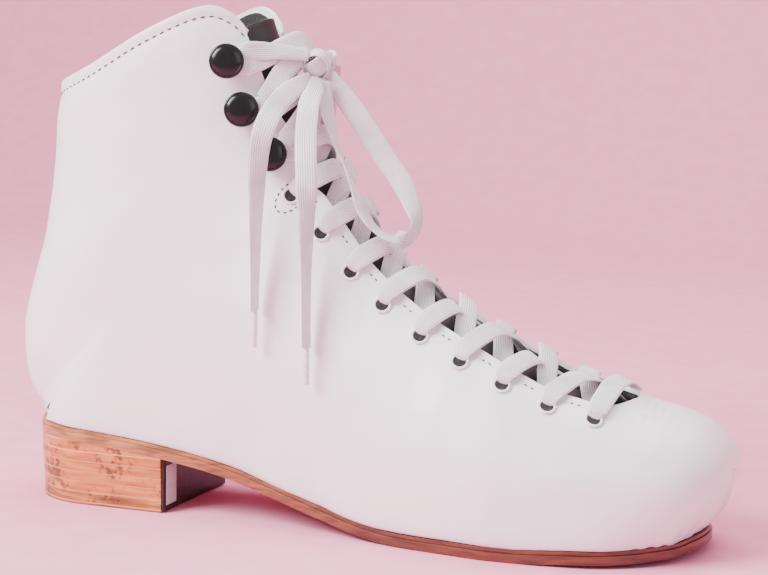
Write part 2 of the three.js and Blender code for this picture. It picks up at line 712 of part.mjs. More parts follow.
function cord(name, points, radius = laceRadius, sectionSides = 8) {
  const section = [];
  for (let k = 0; k < sectionSides; k += 1) {
    const angle = 2 * Math.PI * k / sectionSides;
    section.push(new THREE.Vector2(radius * Math.cos(angle), radius * Math.sin(angle)));
  }
  const geometry = new THREE.ExtrudeGeometry(new THREE.Shape(section), {
    steps: points.length - 1,
    extrudePath: new Route(points),
  });
  addPiece(name, mergeVertices(bareGeometry(geometry), 1e-3), laceCotton);
}

// Heights of the lace over the leather: on the facing, under it, and round a hook.
const overLift = flangeGap + flangeThickness + gap + laceRadius;
const underLift = -(liningInside + gap + laceRadius + 0.4);
const crossingLift = 1.9;      // half the distance between the two runs where they cross
const onBoot = (u, v, side, lift) => sectionPoint(u, v, side, -lift);

// Round a hook: in under the disc on the lower side, round the back of the stem, out on top.
function roundHook(u, side) {
  const { at, out } = facingPlace(u, side);
  const upShaft = sectionPoint(u + 0.1, holeLine(u), side, 0)
    .sub(sectionPoint(u - 0.1, holeLine(u), side, 0)).normalize();
  const toFront = upShaft.clone().cross(out).multiplyScalar(-side);
  const clear = hookStemRadius + laceRadius + 2 * gap;
  const place = (front, up) => at.clone().addScaledVector(out, overLift)
    .addScaledVector(toFront, front).addScaledVector(upShaft, up);
  return [place(6, -clear), place(0, -clear), place(-clear * 0.8, -clear * 0.7), place(-clear * 1.1, 0),
    place(-clear * 0.8, clear * 0.7), place(0, clear), place(6, clear)];
}

// Across the opening, from the edge of one facing to the edge of the other.
function crossOpening(fromU, toU, fromSide, fromLift, rise) {
  const middle = crossingLift * rise;
  const lifts = [fromLift, (fromLift + overLift) / 2 + middle, overLift - 0.6];
  const at = (share) => THREE.MathUtils.lerp(fromU, toU, share);
  return [
    onBoot(at(0.3), 2.88, fromSide, THREE.MathUtils.lerp(lifts[0], lifts[1], 0.55)),
    onBoot(at(0.5), 3, fromSide, lifts[1]),
    onBoot(at(0.72), 2.88, -fromSide, THREE.MathUtils.lerp(lifts[1], lifts[2], 0.65)),
    onBoot(at(0.88), facingEdge(toU), -fromSide, overLift),
  ];
}

// One half of the lace: from the middle of the bar at the throat, eyelet by eyelet, then hook by
// hook, always over a facing into its eyelet and out underneath it. rise is +1 for the half that
// passes in front at the crossings, -1 for the half behind.
function laceRun(startSide, rise) {
  const points = [onBoot(eyeletStations[0], 3, startSide, overLift + 0.2)
    .add(new THREE.Vector3(0, startSide * (laceRadius + gap) / 4, 0))];
  points.push(onBoot(eyeletStations[0], facingEdge(throatStation), startSide, overLift));
  eyeletStations.forEach((u, k) => {
    const side = k % 2 === 0 ? startSide : -startSide;
    const { at, out } = facingPlace(u, side);
    points.push(at.clone().addScaledVector(out, overLift));
    points.push(at.clone().addScaledVector(out, underLift));
    points.push(onBoot(u + 0.12, facingEdge(u), side, underLift));
    const nextIsEyelet = k + 1 < eyeletStations.length;
    const next = nextIsEyelet ? eyeletStations[k + 1] : hookStations[0] - 0.35;
    points.push(...crossOpening(u + 0.12, next, side, underLift, rise));
  });
  hookStations.forEach((u, k) => {
    const side = (eyeletStations.length + k) % 2 === 0 ? startSide : -startSide;
    points.push(...roundHook(u, side));
    if (k + 1 < hookStations.length) {
      points.push(onBoot(u + 0.5, facingEdge(u), side, overLift));
      points.push(...crossOpening(u + 0.5, hookStations[k + 1] - 0.35, side, overLift, rise));
    } else {
      points.push(knotCentre.clone().add(new THREE.Vector3(0.5, side * (knotRadii.y + laceRadius + 2 * gap), 3.5)));
    }
  });
  return points;
}

const knotCentre = new THREE.Vector3(113, 0, 171.5);
const knotRadii = new THREE.Vector3(4.5, 6, 5.5);
for (const [sideName, side] of sides) cord(`lace_${sideName}`, laceRun(side, side));
const knot = new THREE.SphereGeometry(1, 12, 8);
knot.scale(...knotRadii).translate(...knotCentre);
addPiece('bow_knot', mergeVertices(bareGeometry(knot), 1e-3), laceCotton);

// The free stretches hang from the knot: two ends with tips down the outer side, a loop over the
// instep and a loop down the inner side. Their points are chosen by hand.
const vectors = (rows) => rows.map((row) => new THREE.Vector3(...row));
const freeEnds = {
  rear: vectors([
    [112.6, -5, 166.4], [111.8, -9.2, 164.7], [108.8, -15, 161.8], [106.8, -20, 158.2],
    [105.6, -25, 153.8], [105, -29.5, 148.5], [104.6, -32.4, 142], [104.4, -33.8, 133],
    [104.4, -34.5, 122.5], [104.4, -35, 112], [104.5, -35.3, 101], [104.5, -35.6, 91],
    [104.6, -35.8, 82],
  ]),
  front: vectors([
    [115.2, -4, 166.1], [116, -8.5, 162.4], [116.2, -14, 157.8], [117.3, -18.5, 152.5],
    [118.6, -22.5, 147], [120, -25.7, 140], [121.2, -28, 133.8], [122.2, -30, 126],
    [122.8, -31.2, 118], [123.6, -32.6, 108], [124.2, -34, 98], [124.8, -35.2, 88],
    [125.3, -36.2, 78], [125.8, -37, 70],
  ]),
};
const bowLoops = {
  front: vectors([
    [117.6, 1.6, 168], [120, 2, 164], [123.2, 2.4, 159.5], [127, 3, 154.5], [131, 3.5, 149],
    [135, 3.5, 143.5], [139.5, 3, 137.5], [144.5, 2.5, 131.5], [149, 1.5, 125.5], [152.6, 0, 119],
    [154.6, -2, 113.2], [153.4, -5, 109], [149.5, -8.5, 107.8], [144.8, -11.5, 110],
    [140.6, -13, 114], [137.4, -13.5, 119], [134.6, -13, 125], [131, -12, 132],
    [127, -10.5, 139], [123.6, -9, 146], [120.8, -7.2, 153], [119, -5, 159.5], [117.4, -2.6, 165.2],
  ]),
  inner: vectors([
    [116.4, 7.2, 172.4], [115, 12, 173.6], [111.8, 18, 172.8], [108.8, 24, 169], [105.8, 29, 163],
    [103.8, 32, 155.5], [102.2, 33.6, 147], [100.5, 34.4, 138], [98, 34.6, 129], [95, 34.4, 121.5],
    [90.5, 34.2, 117.5], [86, 34.2, 120], [84, 33.8, 127.5], [85, 33.4, 137], [87.6, 33.2, 147],
    [91.3, 33, 156], [96.4, 32, 163], [101.8, 29, 166.4], [106.5, 23, 167.4], [110, 16, 168.4],
    [112.6, 11.4, 168.8], [114.4, 7.4, 168.4],
  ]),
};
const tipLength = 14;
for (const [endName, points] of Object.entries(freeEnds)) {
  cord(`lace_end_${endName}`, points);
  const last = points[points.length - 1];
  const down = last.clone().sub(points[points.length - 2]).normalize();
  const tip = rod(1.1, last.clone().addScaledVector(down, gap),
    last.clone().addScaledVector(down, gap + tipLength), 8);
  addPiece(`lace_tip_${endName}`, tip, clearTip);
}
for (const [loopName, points] of Object.entries(bowLoops)) cord(`bow_loop_${loopName}`, points);

// The origin is on the floor, under the middle of the boot without its free lace.
const standing = new THREE.Box3();
for (const mesh of boot.children) {
  if (!/^(lace_end|lace_tip|bow_loop)/.test(mesh.name)) standing.expandByObject(mesh);
}
const middle = standing.getCenter(new THREE.Vector3());
boot.position.set(-middle.x, -middle.y, -standing.min.z);

export default boot;
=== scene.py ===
# %% [markdown]
# # A white leather skating boot
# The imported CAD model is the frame. It says where every piece of the boot is. Each cell below makes
# one piece as it really looks, in the same place, in metres: +X to the toe, +Y to the inner side of
# the foot, +Z up. The boot's surface follows one rule, so most pieces are drawn from that rule.

# %% Load the frame
import math

import bmesh
import bpy
import numpy as np
from mathutils import Euler, Matrix, Vector, noise
from mathutils.bvhtree import BVHTree


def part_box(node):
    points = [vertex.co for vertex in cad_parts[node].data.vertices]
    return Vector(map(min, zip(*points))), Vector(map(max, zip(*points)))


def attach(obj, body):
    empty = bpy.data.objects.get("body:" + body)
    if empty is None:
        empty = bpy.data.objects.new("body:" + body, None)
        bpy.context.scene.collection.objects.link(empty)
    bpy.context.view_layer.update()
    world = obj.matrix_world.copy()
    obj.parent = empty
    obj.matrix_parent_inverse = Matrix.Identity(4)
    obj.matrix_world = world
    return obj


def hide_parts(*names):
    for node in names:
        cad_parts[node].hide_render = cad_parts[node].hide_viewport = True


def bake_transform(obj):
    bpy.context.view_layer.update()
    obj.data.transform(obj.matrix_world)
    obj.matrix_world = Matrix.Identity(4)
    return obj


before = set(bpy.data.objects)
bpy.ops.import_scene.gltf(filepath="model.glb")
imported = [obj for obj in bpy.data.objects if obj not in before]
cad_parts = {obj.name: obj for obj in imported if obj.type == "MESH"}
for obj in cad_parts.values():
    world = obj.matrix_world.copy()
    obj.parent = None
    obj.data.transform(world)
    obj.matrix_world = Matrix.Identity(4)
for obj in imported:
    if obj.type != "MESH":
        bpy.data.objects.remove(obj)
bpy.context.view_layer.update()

MM = 0.001
sole_back_x = -1.5
# The pattern is drawn from the back of the heel, the frame from the middle of the boot.
pattern_origin = np.array([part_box("outsole")[0][0] / MM - sole_back_x, -0.3017, 0.0])
print("pattern origin, mm:", pattern_origin.round(2))

# %% [markdown]
# ## Camera, light and floor
# The boot is seen from its outer side and a little in front, from low down, through a long lens.
# Two large soft lamps and a bright sky keep white leather white and still show its form. They are
# made first, because the lace that hangs free has to be in the camera's view.

# %% Camera
view_turn = math.radians(21.9)
view_rise = math.radians(7.3)
view_lean = math.radians(0.8)
view_distance = 0.780
toward_camera = Vector((math.sin(view_turn) * math.cos(view_rise),
                        -math.cos(view_turn) * math.cos(view_rise), math.sin(view_rise)))


def place(x, y, z):
    """A point of the pattern, in millimetres, as a point of the frame, in metres."""
    return Vector(((x + pattern_origin[0]) * MM, (y + pattern_origin[1]) * MM, z * MM))


camera_data = bpy.data.cameras.new("camera")
camera_data.lens = 97.0
camera_data.shift_x = 0.0367
camera_data.shift_y = -0.0066
camera = bpy.data.objects.new("camera", camera_data)
bpy.context.scene.collection.objects.link(camera)
aim = place(130, 0, 90)
camera.location = aim + toward_camera * view_distance
turn = (-toward_camera).to_track_quat("-Z", "Y").to_euler()
turn.rotate_axis("Z", view_lean)
camera.rotation_euler = turn
bpy.context.scene.camera = camera
print("camera at", [round(v, 3) for v in camera.location])

# %% Lamps, sky and floor


def lamp(name, at, energy, size, tint=(1, 1, 1)):
    data = bpy.data.lights.new(name, "AREA")
    data.energy = energy
    data.size = size
    data.color = tint
    thing = bpy.data.objects.new(name, data)
    thing.location = at
    thing.rotation_euler = (aim - Vector(at)).to_track_quat("-Z", "Y").to_euler()
    bpy.context.scene.collection.objects.link(thing)
    return thing


def to_linear(hex_colour):
    """An sRGB colour such as "#F3F2F1" as the linear numbers that Blender's sockets take."""
    parts = [int(hex_colour[k:k + 2], 16) / 255 for k in (1, 3, 5)]
    linear = [c / 12.92 if c <= 0.04045 else ((c + 0.055) / 1.055) ** 2.4 for c in parts]
    return (*linear, 1.0)


lamp("key_lamp", (-0.75, -0.85, 1.0), 56.0, 0.8)
lamp("front_lamp", (1.1, -0.55, 0.65), 3.0, 0.8, (1.0, 0.98, 0.97))
lamp("top_lamp", (0.1, 0.45, 1.3), 15.0, 0.9)
sky = bpy.data.worlds.new("sky")
sky.use_nodes = True
sky.node_tree.nodes["Background"].inputs["Color"].default_value = to_linear("#FBF3F6")
sky.node_tree.nodes["Background"].inputs["Strength"].default_value = 0.85
bpy.context.scene.world = sky

# %% [markdown]
# ## Helpers for materials
# A material is a short chain of nodes. One function adds a node, gives it its settings and links
# its inputs. `principled` starts a material and keeps constants on the shader's own sockets.

# %% Material helpers


def add(tree, kind, links=None, **settings):
    """Adds a node. Settings named after a socket go to the socket, others to the node."""
    node = tree.nodes.new(kind)
    for key, value in settings.items():
        name = key.replace("_", " ").title() if not hasattr(node, key) else None
        if name is None:
            setattr(node, key, value)
        else:
            node.inputs[name].default_value = value
    for socket, source in (links or {}).items():
        tree.links.new(source, node.inputs[socket])
    return node


def principled(name, hex_colour, roughness, **constants):
    material = bpy.data.materials.new(name)
    material.use_nodes = True
    shader = material.node_tree.nodes["Principled BSDF"]
    shader.inputs["Base Color"].default_value = to_linear(hex_colour)
    shader.inputs["Roughness"].default_value = roughness
    for key, value in constants.items():
        shader.inputs[key.replace("_", " ")].default_value = value
    return material, material.node_tree, shader


def ramp(tree, source, stops, mode="LINEAR"):
    """Colours a value from 0 to 1: stops are (position, colour)."""
    node = add(tree, "ShaderNodeValToRGB", {"Fac": source})
    node.color_ramp.interpolation = mode
    while len(node.color_ramp.elements) < len(stops):
        node.color_ramp.elements.new(0.5)
    for element, (position, hex_colour) in zip(node.color_ramp.elements, stops):
        element.position = position
        element.color = to_linear(hex_colour)
    return node.outputs["Color"]


def bump(tree, shader, height, depth_mm, strength=1.0, below=None):
    """Raises the surface by a height from 0 to 1, depth_mm deep."""
    node = add(tree, "ShaderNodeBump", {"Height": height}, strength=strength,
               distance=depth_mm * MM)
    if below is not None:
        tree.links.new(below.outputs["Normal"], node.inputs["Normal"])
    tree.links.new(node.outputs["Normal"], shader.inputs["Normal"])
    return node


def per_metre(size_mm):
    """The scale that makes one cell of a texture size_mm wide, on coordinates in metres."""
    return 1.0 / (size_mm * MM)


floor_paint, tree, shader = principled("matte_pale_paper", "#F49DBD", 0.9)
paper = add(tree, "ShaderNodeTexNoise", scale=60.0, detail=3.0)
tree.links.new(add(tree, "ShaderNodeTexCoord").outputs["Object"], paper.inputs["Vector"])
tree.links.new(ramp(tree, paper.outputs["Fac"], [(0.3, "#F398B9"), (0.7, "#F5A2C1")]),
               shader.inputs["Base Color"])
# The paper hangs behind the boot and sweeps down to the floor in one curve, so there is no horizon.
half_width, sweep_start, sweep_radius, sweep_top = 3.5, 0.9, 0.6, 3.0
profile = [(-2.5, 0.0), (sweep_start, 0.0)]
profile += [(sweep_start + sweep_radius * math.sin(a), sweep_radius * (1 - math.cos(a)))
            for a in np.linspace(0, math.pi / 2, 24)[1:]]
profile.append((sweep_start + sweep_radius, sweep_top))
paper_points = [(x, y, z) for y, z in profile for x in (-half_width, half_width)]
paper_faces = [(2 * k, 2 * k + 1, 2 * k + 3, 2 * k + 2) for k in range(len(profile) - 1)]
floor_mesh = bpy.data.meshes.new("paper_floor")
floor_mesh.from_pydata(paper_points, [], paper_faces)
floor_mesh.shade_smooth()
floor_mesh.materials.append(floor_paint)
floor = bpy.data.objects.new("paper_floor", floor_mesh)
bpy.context.scene.collection.objects.link(floor)
print("floor and backdrop ready")

# %% [markdown]
# ## Finishes
# Each finish starts from what the real one is. Coated leather has fine pores a little under a
# millimetre apart and a soft sheen. Stacked leather shows the cut edges of its sheets. Cotton lace
# is woven in ribs that run its whole length, so its pattern follows the piece's own UV map.

# %% White coated leather
def local(tree):
    """The piece's own coordinates, in metres."""
    return add(tree, "ShaderNodeTexCoord").outputs["Object"]


white_leather, tree, shader = principled("white_coated_leather", "#F4F3F3", 0.36,
                                         Coat_Weight=0.25, Coat_Roughness=0.22)
where = local(tree)
pores = add(tree, "ShaderNodeTexVoronoi", {"Vector": where}, feature="DISTANCE_TO_EDGE",
            scale=per_metre(0.9))
pore_wall = add(tree, "ShaderNodeMapRange", {"Value": pores.outputs["Distance"]})
pore_wall.inputs["From Max"].default_value = 0.35
stretch = add(tree, "ShaderNodeTexNoise", {"Vector": where}, scale=per_metre(9), detail=5.0)
shade = add(tree, "ShaderNodeTexNoise", {"Vector": where}, scale=per_metre(34), detail=3.0)
# Grime and painted shade: a point attribute greys the leather towards #C9C4C3 in its creases, pleats,
# stitched grooves and along the joint with the welt.
wear = add(tree, "ShaderNodeAttribute", attribute_name="wear")
clean = ramp(tree, shade.outputs["Fac"], [(0.35, "#F1F0F2"), (0.65, "#F7F6F5")])
grimy_and_shaded = add(tree, "ShaderNodeMix", data_type="RGBA")
tree.links.new(clean, grimy_and_shaded.inputs[6])
grimy_and_shaded.inputs[7].default_value = to_linear("#C9C4C3")
tree.links.new(wear.outputs["Fac"], grimy_and_shaded.inputs[0])
tree.links.new(grimy_and_shaded.outputs[2], shader.inputs["Base Color"])
gloss = add(tree, "ShaderNodeMapRange", {"Value": stretch.outputs["Fac"]})
gloss.inputs["To Min"].default_value = 0.30
gloss.inputs["To Max"].default_value = 0.46
tree.links.new(gloss.outputs["Result"], shader.inputs["Roughness"])
broad = bump(tree, shader, stretch.outputs["Fac"], 0.5, 0.35)
bump(tree, shader, pore_wall.outputs["Result"], 0.06, 0.5, broad)

# %% Black soft leather and black woven lining
black_leather, tree, shader = principled("black_soft_leather", "#1D191A", 0.55)
where = local(tree)
pores = add(tree, "ShaderNodeTexVoronoi", {"Vector": where}, scale=per_metre(1.2))
folds = add(tree, "ShaderNodeTexNoise", {"Vector": where}, scale=per_metre(14), detail=4.0)
tree.links.new(ramp(tree, folds.outputs["Fac"], [(0.3, "#171314"), (0.7, "#2A2425")]),
               shader.inputs["Base Color"])
bump(tree, shader, pores.outputs["Distance"], 0.12, 0.6)

black_lining, tree, shader = principled("black_woven_lining", "#181415", 0.9, Sheen_Weight=0.25)
where = local(tree)
thread = add(tree, "ShaderNodeTexWave", {"Vector": where}, bands_direction="Z",
             scale=per_metre(1.1) / math.tau, distortion=0.6)
across = add(tree, "ShaderNodeTexWave", {"Vector": where}, bands_direction="X",
             scale=per_metre(1.1) / math.tau, distortion=0.6)
weave = add(tree, "ShaderNodeMath", {0: thread.outputs["Fac"], 1: across.outputs["Fac"]},
            operation="MULTIPLY")
tree.links.new(ramp(tree, weave.outputs[0], [(0.0, "#120F10"), (1.0, "#2B2526")]),
               shader.inputs["Base Color"])
bump(tree, shader, weave.outputs[0], 0.15, 0.7)

# %% Undyed lining leather, board, cork, foam
natural_leather, tree, shader = principled("undyed_lining_leather", "#CDBB9F", 0.7)
where = local(tree)
fibres = add(tree, "ShaderNodeTexNoise", {"Vector": where}, scale=per_metre(5), detail=6.0)
tree.links.new(ramp(tree, fibres.outputs["Fac"], [(0.3, "#C3AE8E"), (0.7, "#DACBB1")]),
               shader.inputs["Base Color"])
bump(tree, shader, fibres.outputs["Fac"], 0.2, 0.5)

pressed_board, tree, shader = principled("pressed_leather_board", "#B08A5E", 0.85)
where = local(tree)
fibres = add(tree, "ShaderNodeTexNoise", {"Vector": where}, scale=per_metre(2), detail=8.0)
tree.links.new(ramp(tree, fibres.outputs["Fac"], [(0.3, "#9C774B"), (0.7, "#C09C70")]),
               shader.inputs["Base Color"])
bump(tree, shader, fibres.outputs["Fac"], 0.1, 0.6)

ground_cork, tree, shader = principled("ground_cork", "#A77D4F", 0.95)
where = local(tree)
grains = add(tree, "ShaderNodeTexVoronoi", {"Vector": where}, scale=per_metre(2.5))
tree.links.new(ramp(tree, grains.outputs["Distance"], [(0.1, "#B98F5E"), (0.6, "#6F4A28")]),
               shader.inputs["Base Color"])
bump(tree, shader, grains.outputs["Distance"], 0.3, 0.6)

open_foam, tree, shader = principled("open_foam", "#DBD3BE", 0.95)
where = local(tree)
cells = add(tree, "ShaderNodeTexVoronoi", {"Vector": where}, scale=per_metre(1.0))
tree.links.new(ramp(tree, cells.outputs["Distance"], [(0.1, "#B9B09A"), (0.5, "#E2DBC9")]),
               shader.inputs["Base Color"])
bump(tree, shader, cells.outputs["Distance"], 0.3, 0.6)

# %% Sole leather: burnished brown at the forepart, paler at the waist and heel seat
sole_leather, tree, shader = principled("burnished_sole_leather", "#7E3F22", 0.38,
                                        Coat_Weight=0.3, Coat_Roughness=0.25)
where = local(tree)
apart = add(tree, "ShaderNodeSeparateXYZ", {0: where})
along = add(tree, "ShaderNodeMapRange", {"Value": apart.outputs["X"]})
along.inputs["From Min"].default_value = place(45, 0, 0).x
along.inputs["From Max"].default_value = place(150, 0, 0).x
dye = ramp(tree, along.outputs["Result"], [(0.0, "#B97A48"), (0.45, "#9C5C34"), (1.0, "#6E3119")])
stretched = add(tree, "ShaderNodeMapping", {"Vector": where})
stretched.inputs["Scale"].default_value = (1.0, 1.0, 7.0)
layers = add(tree, "ShaderNodeTexNoise", {"Vector": stretched.outputs[0]}, scale=per_metre(11),
             detail=6.0)
streaks = ramp(tree, layers.outputs["Fac"], [(0.35, "#9A8A80"), (0.62, "#FFFFFF")])
mixed = add(tree, "ShaderNodeMix", data_type="RGBA", blend_type="MULTIPLY")
mixed.inputs[0].default_value = 0.8
tree.links.new(dye, mixed.inputs[6])
tree.links.new(streaks, mixed.inputs[7])
tree.links.new(mixed.outputs[2], shader.inputs["Base Color"])
bump(tree, shader, layers.outputs["Fac"], 0.25, 0.5)

# %% Stacked heel leather: orange tan, with flecks where the fibres took up more wax
top_piece_thickness = 5
lift_thickness = 4


def stacked(name, light, dark, fleck):
    material, tree, shader = principled(name, light, 0.42, Coat_Weight=0.25, Coat_Roughness=0.3)
    where = local(tree)
    sheet_grain = add(tree, "ShaderNodeMapping", {"Vector": where})
    sheet_grain.inputs["Scale"].default_value = (1.0, 1.0, 9.0)
    bands = add(tree, "ShaderNodeTexNoise", {"Vector": sheet_grain.outputs[0]},
                scale=per_metre(16), detail=6.0)
    base = ramp(tree, bands.outputs["Fac"], [(0.32, dark), (0.55, light), (0.75, "#DD8E4E")])
    specks = add(tree, "ShaderNodeTexNoise", {"Vector": where}, scale=per_metre(2.4), detail=4.0,
                 roughness=0.7)
    patches = add(tree, "ShaderNodeTexNoise", {"Vector": where}, scale=per_metre(14), detail=2.0)
    both = add(tree, "ShaderNodeMath", {0: specks.outputs["Fac"], 1: patches.outputs["Fac"]},
               operation="MULTIPLY")
    amount = add(tree, "ShaderNodeMapRange", {"Value": both.outputs[0]})
    amount.inputs["From Min"].default_value = 0.29
    amount.inputs["From Max"].default_value = 0.36
    mixed = add(tree, "ShaderNodeMix", data_type="RGBA")
    tree.links.new(amount.outputs["Result"], mixed.inputs[0])
    tree.links.new(base, mixed.inputs[6])
    mixed.inputs[7].default_value = to_linear(fleck)
    # A painted highlight: a paler line runs along each joint where one lift meets the next.
    apart = add(tree, "ShaderNodeSeparateXYZ", {0: where})
    lifts_up = add(tree, "ShaderNodeMath", {0: apart.outputs["Z"]}, operation="MULTIPLY_ADD")
    lifts_up.inputs[1].default_value = per_metre(lift_thickness)
    lifts_up.inputs[2].default_value = 0.5 - top_piece_thickness / lift_thickness
    wavy = add(tree, "ShaderNodeMath", {0: bands.outputs["Fac"], 2: lifts_up.outputs[0]},
               operation="MULTIPLY_ADD")
    wavy.inputs[1].default_value = 0.12
    part = add(tree, "ShaderNodeMath", {0: wavy.outputs[0]}, operation="FRACT")
    from_seam = add(tree, "ShaderNodeMath", {0: part.outputs[0]}, operation="SUBTRACT")
    from_seam.inputs[1].default_value = 0.56
    distance = add(tree, "ShaderNodeMath", {0: from_seam.outputs[0]}, operation="ABSOLUTE")
    joint_highlight_mask = add(tree, "ShaderNodeMapRange", {"Value": distance.outputs[0]})
    joint_highlight_mask.inputs["From Max"].default_value = 0.11
    joint_highlight_mask.inputs["To Min"].default_value = 0.75
    joint_highlight_mask.inputs["To Max"].default_value = 0.0
    with_joint_highlight = add(tree, "ShaderNodeMix", {0: joint_highlight_mask.outputs["Result"], 6: mixed.outputs[2]},
                data_type="RGBA")
    with_joint_highlight.inputs[7].default_value = to_linear("#F1B678")
    tree.links.new(with_joint_highlight.outputs[2], shader.inputs["Base Color"])
    bump(tree, shader, bands.outputs["Fac"], 0.3, 0.6)
    return material



heel_leather = stacked("stacked_heel_leather", "#CB7438", "#A65524", "#6E3816")
heel_rubber = stacked("waxed_top_piece", "#9C5527", "#7A3C16", "#542A10")

# %% Black heel-breast leather and a plain paper label
breast_leather, tree, shader = principled("black_breast_leather", "#1B1617", 0.4)
where = local(tree)
grain = add(tree, "ShaderNodeTexNoise", {"Vector": where}, scale=per_metre(3), detail=5.0)
tree.links.new(ramp(tree, grain.outputs["Fac"], [(0.3, "#141011"), (0.7, "#292122")]),
               shader.inputs["Base Color"])
bump(tree, shader, grain.outputs["Fac"], 0.15, 0.6)

label_paper, tree, shader = principled("plain_label_paper", "#C9C4C2", 0.7)
where = local(tree)
grain = add(tree, "ShaderNodeTexNoise", {"Vector": where}, scale=per_metre(1.5), detail=4.0)
tree.links.new(ramp(tree, grain.outputs["Fac"], [(0.3, "#BDB7B5"), (0.7, "#D6D1CE")]),
               shader.inputs["Base Color"])
bump(tree, shader, grain.outputs["Fac"], 0.05, 0.5)

# %% Enamelled brass and steel
black_enamel, tree, shader = principled("black_enamel_on_brass", "#0A0909", 0.22,
                                        Specular_IOR_Level=0.35, Coat_Weight=0.15,
                                        Coat_Roughness=0.05)
where = local(tree)
ripple = add(tree, "ShaderNodeTexNoise", {"Vector": where}, scale=per_metre(3), detail=2.0)
tree.links.new(ramp(tree, ripple.outputs["Fac"], [(0.3, "#070606"), (0.7, "#0F0D0D")]),
               shader.inputs["Base Color"])
bump(tree, shader, ripple.outputs["Fac"], 0.03, 0.4)

white_enamel, tree, shader = principled("white_enamel_on_brass", "#EDECEB", 0.28)
where = local(tree)
chips = add(tree, "ShaderNodeTexNoise", {"Vector": where}, scale=per_metre(1.2), detail=4.0)
tree.links.new(ramp(tree, chips.outputs["Fac"], [(0.3, "#CFCBC8"), (0.5, "#F2F1F0")]),
               shader.inputs["Base Color"])
bump(tree, shader, chips.outputs["Fac"], 0.03, 0.4)

plain_steel, tree, shader = principled("rolled_steel", "#A7A9AC", 0.35, Metallic=1.0)
where = local(tree)
rolling = add(tree, "ShaderNodeTexNoise", {"Vector": where}, scale=per_metre(0.8), detail=3.0)
scratches = add(tree, "ShaderNodeMapRange", {"Value": rolling.outputs["Fac"]})
scratches.inputs["To Min"].default_value = 0.25
scratches.inputs["To Max"].default_value = 0.5
tree.links.new(scratches.outputs["Result"], shader.inputs["Roughness"])
bump(tree, shader, rolling.outputs["Fac"], 0.02, 0.5)

# %% Cotton lace, thread and lace tips
lace_cotton, tree, shader = principled("ribbed_cotton_lace", "#EFEDEF", 0.85, Sheen_Weight=0.3)
uv = add(tree, "ShaderNodeUVMap", uv_map="weave").outputs["UV"]
across_uv = add(tree, "ShaderNodeSeparateXYZ", {0: uv})
# U runs once across the lace, V counts millimetres along it. Nine ribs across, a pick every 0.9 mm.
ribs = add(tree, "ShaderNodeMath", {0: across_uv.outputs["X"]}, operation="MULTIPLY")
ribs.inputs[1].default_value = 9 * math.tau
rib_wave = add(tree, "ShaderNodeMath", {0: ribs.outputs[0]}, operation="SINE")
picks = add(tree, "ShaderNodeMath", {0: across_uv.outputs["Y"]}, operation="MULTIPLY")
picks.inputs[1].default_value = math.tau / 0.9
pick_wave = add(tree, "ShaderNodeMath", {0: picks.outputs[0]}, operation="SINE")
weave = add(tree, "ShaderNodeMath", {0: rib_wave.outputs[0], 1: pick_wave.outputs[0]},
            operation="MULTIPLY_ADD")
weave.inputs[1].default_value = 0.3
tree.links.new(pick_wave.outputs[0], weave.inputs[0])
tree.links.new(rib_wave.outputs[0], weave.inputs[2])
level = add(tree, "ShaderNodeMapRange", {"Value": weave.outputs[0]})
level.inputs["From Min"].default_value = -1.3
level.inputs["From Max"].default_value = 1.3
blot = add(tree, "ShaderNodeTexNoise", {"Vector": local(tree)}, scale=per_metre(12), detail=3.0)
yarn = ramp(tree, level.outputs["Result"], [(0.0, "#D9D2D5"), (0.5, "#F2F0F2"), (1.0, "#FBFAFB")])
tone = ramp(tree, blot.outputs["Fac"], [(0.35, "#E9E3E7"), (0.65, "#FFFFFF")])
mixed = add(tree, "ShaderNodeMix", data_type="RGBA", blend_type="MULTIPLY")
mixed.inputs[0].default_value = 1.0
tree.links.new(yarn, mixed.inputs[6])
tree.links.new(tone, mixed.inputs[7])
tree.links.new(mixed.outputs[2], shader.inputs["Base Color"])
bump(tree, shader, level.outputs["Result"], 0.25, 0.9)

dark_thread, tree, shader = principled("waxed_dark_thread", "#3A3235", 0.6)
twist = add(tree, "ShaderNodeTexNoise", {"Vector": local(tree)}, scale=per_metre(0.5), detail=2.0)
tree.links.new(ramp(tree, twist.outputs["Fac"], [(0.3, "#2B2426"), (0.7, "#4C4345")]),
               shader.inputs["Base Color"])
bump(tree, shader, twist.outputs["Fac"], 0.05, 0.5)

tip_film, tree, shader = principled("clear_film_over_cotton", "#E9E6E8", 0.18, Coat_Weight=0.5)
crinkle = add(tree, "ShaderNodeTexNoise", {"Vector": local(tree)}, scale=per_metre(1.5), detail=2.0)
tree.links.new(ramp(tree, crinkle.outputs["Fac"], [(0.3, "#D8D3D6"), (0.7, "#F3F1F2")]),
               shader.inputs["Base Color"])
bump(tree, shader, crinkle.outputs["Fac"], 0.1, 0.5)
print("finishes:", len(bpy.data.materials))

# %% [markdown]
# ## The rule of the boot's shape
# A shoemaker's last has a sole line and an instep line, joined by sections. The table gives both
# lines and the half width at stations from the toe tip, along the foot, round the heel and up the
# shaft. A point is then named by its station `u` and its place `v` round half the section: 0 the
# middle of the sole or back, 1 the sole's edge, 2 the widest place, 3 the instep line. Every layer
# of the boot is this surface, moved inwards.

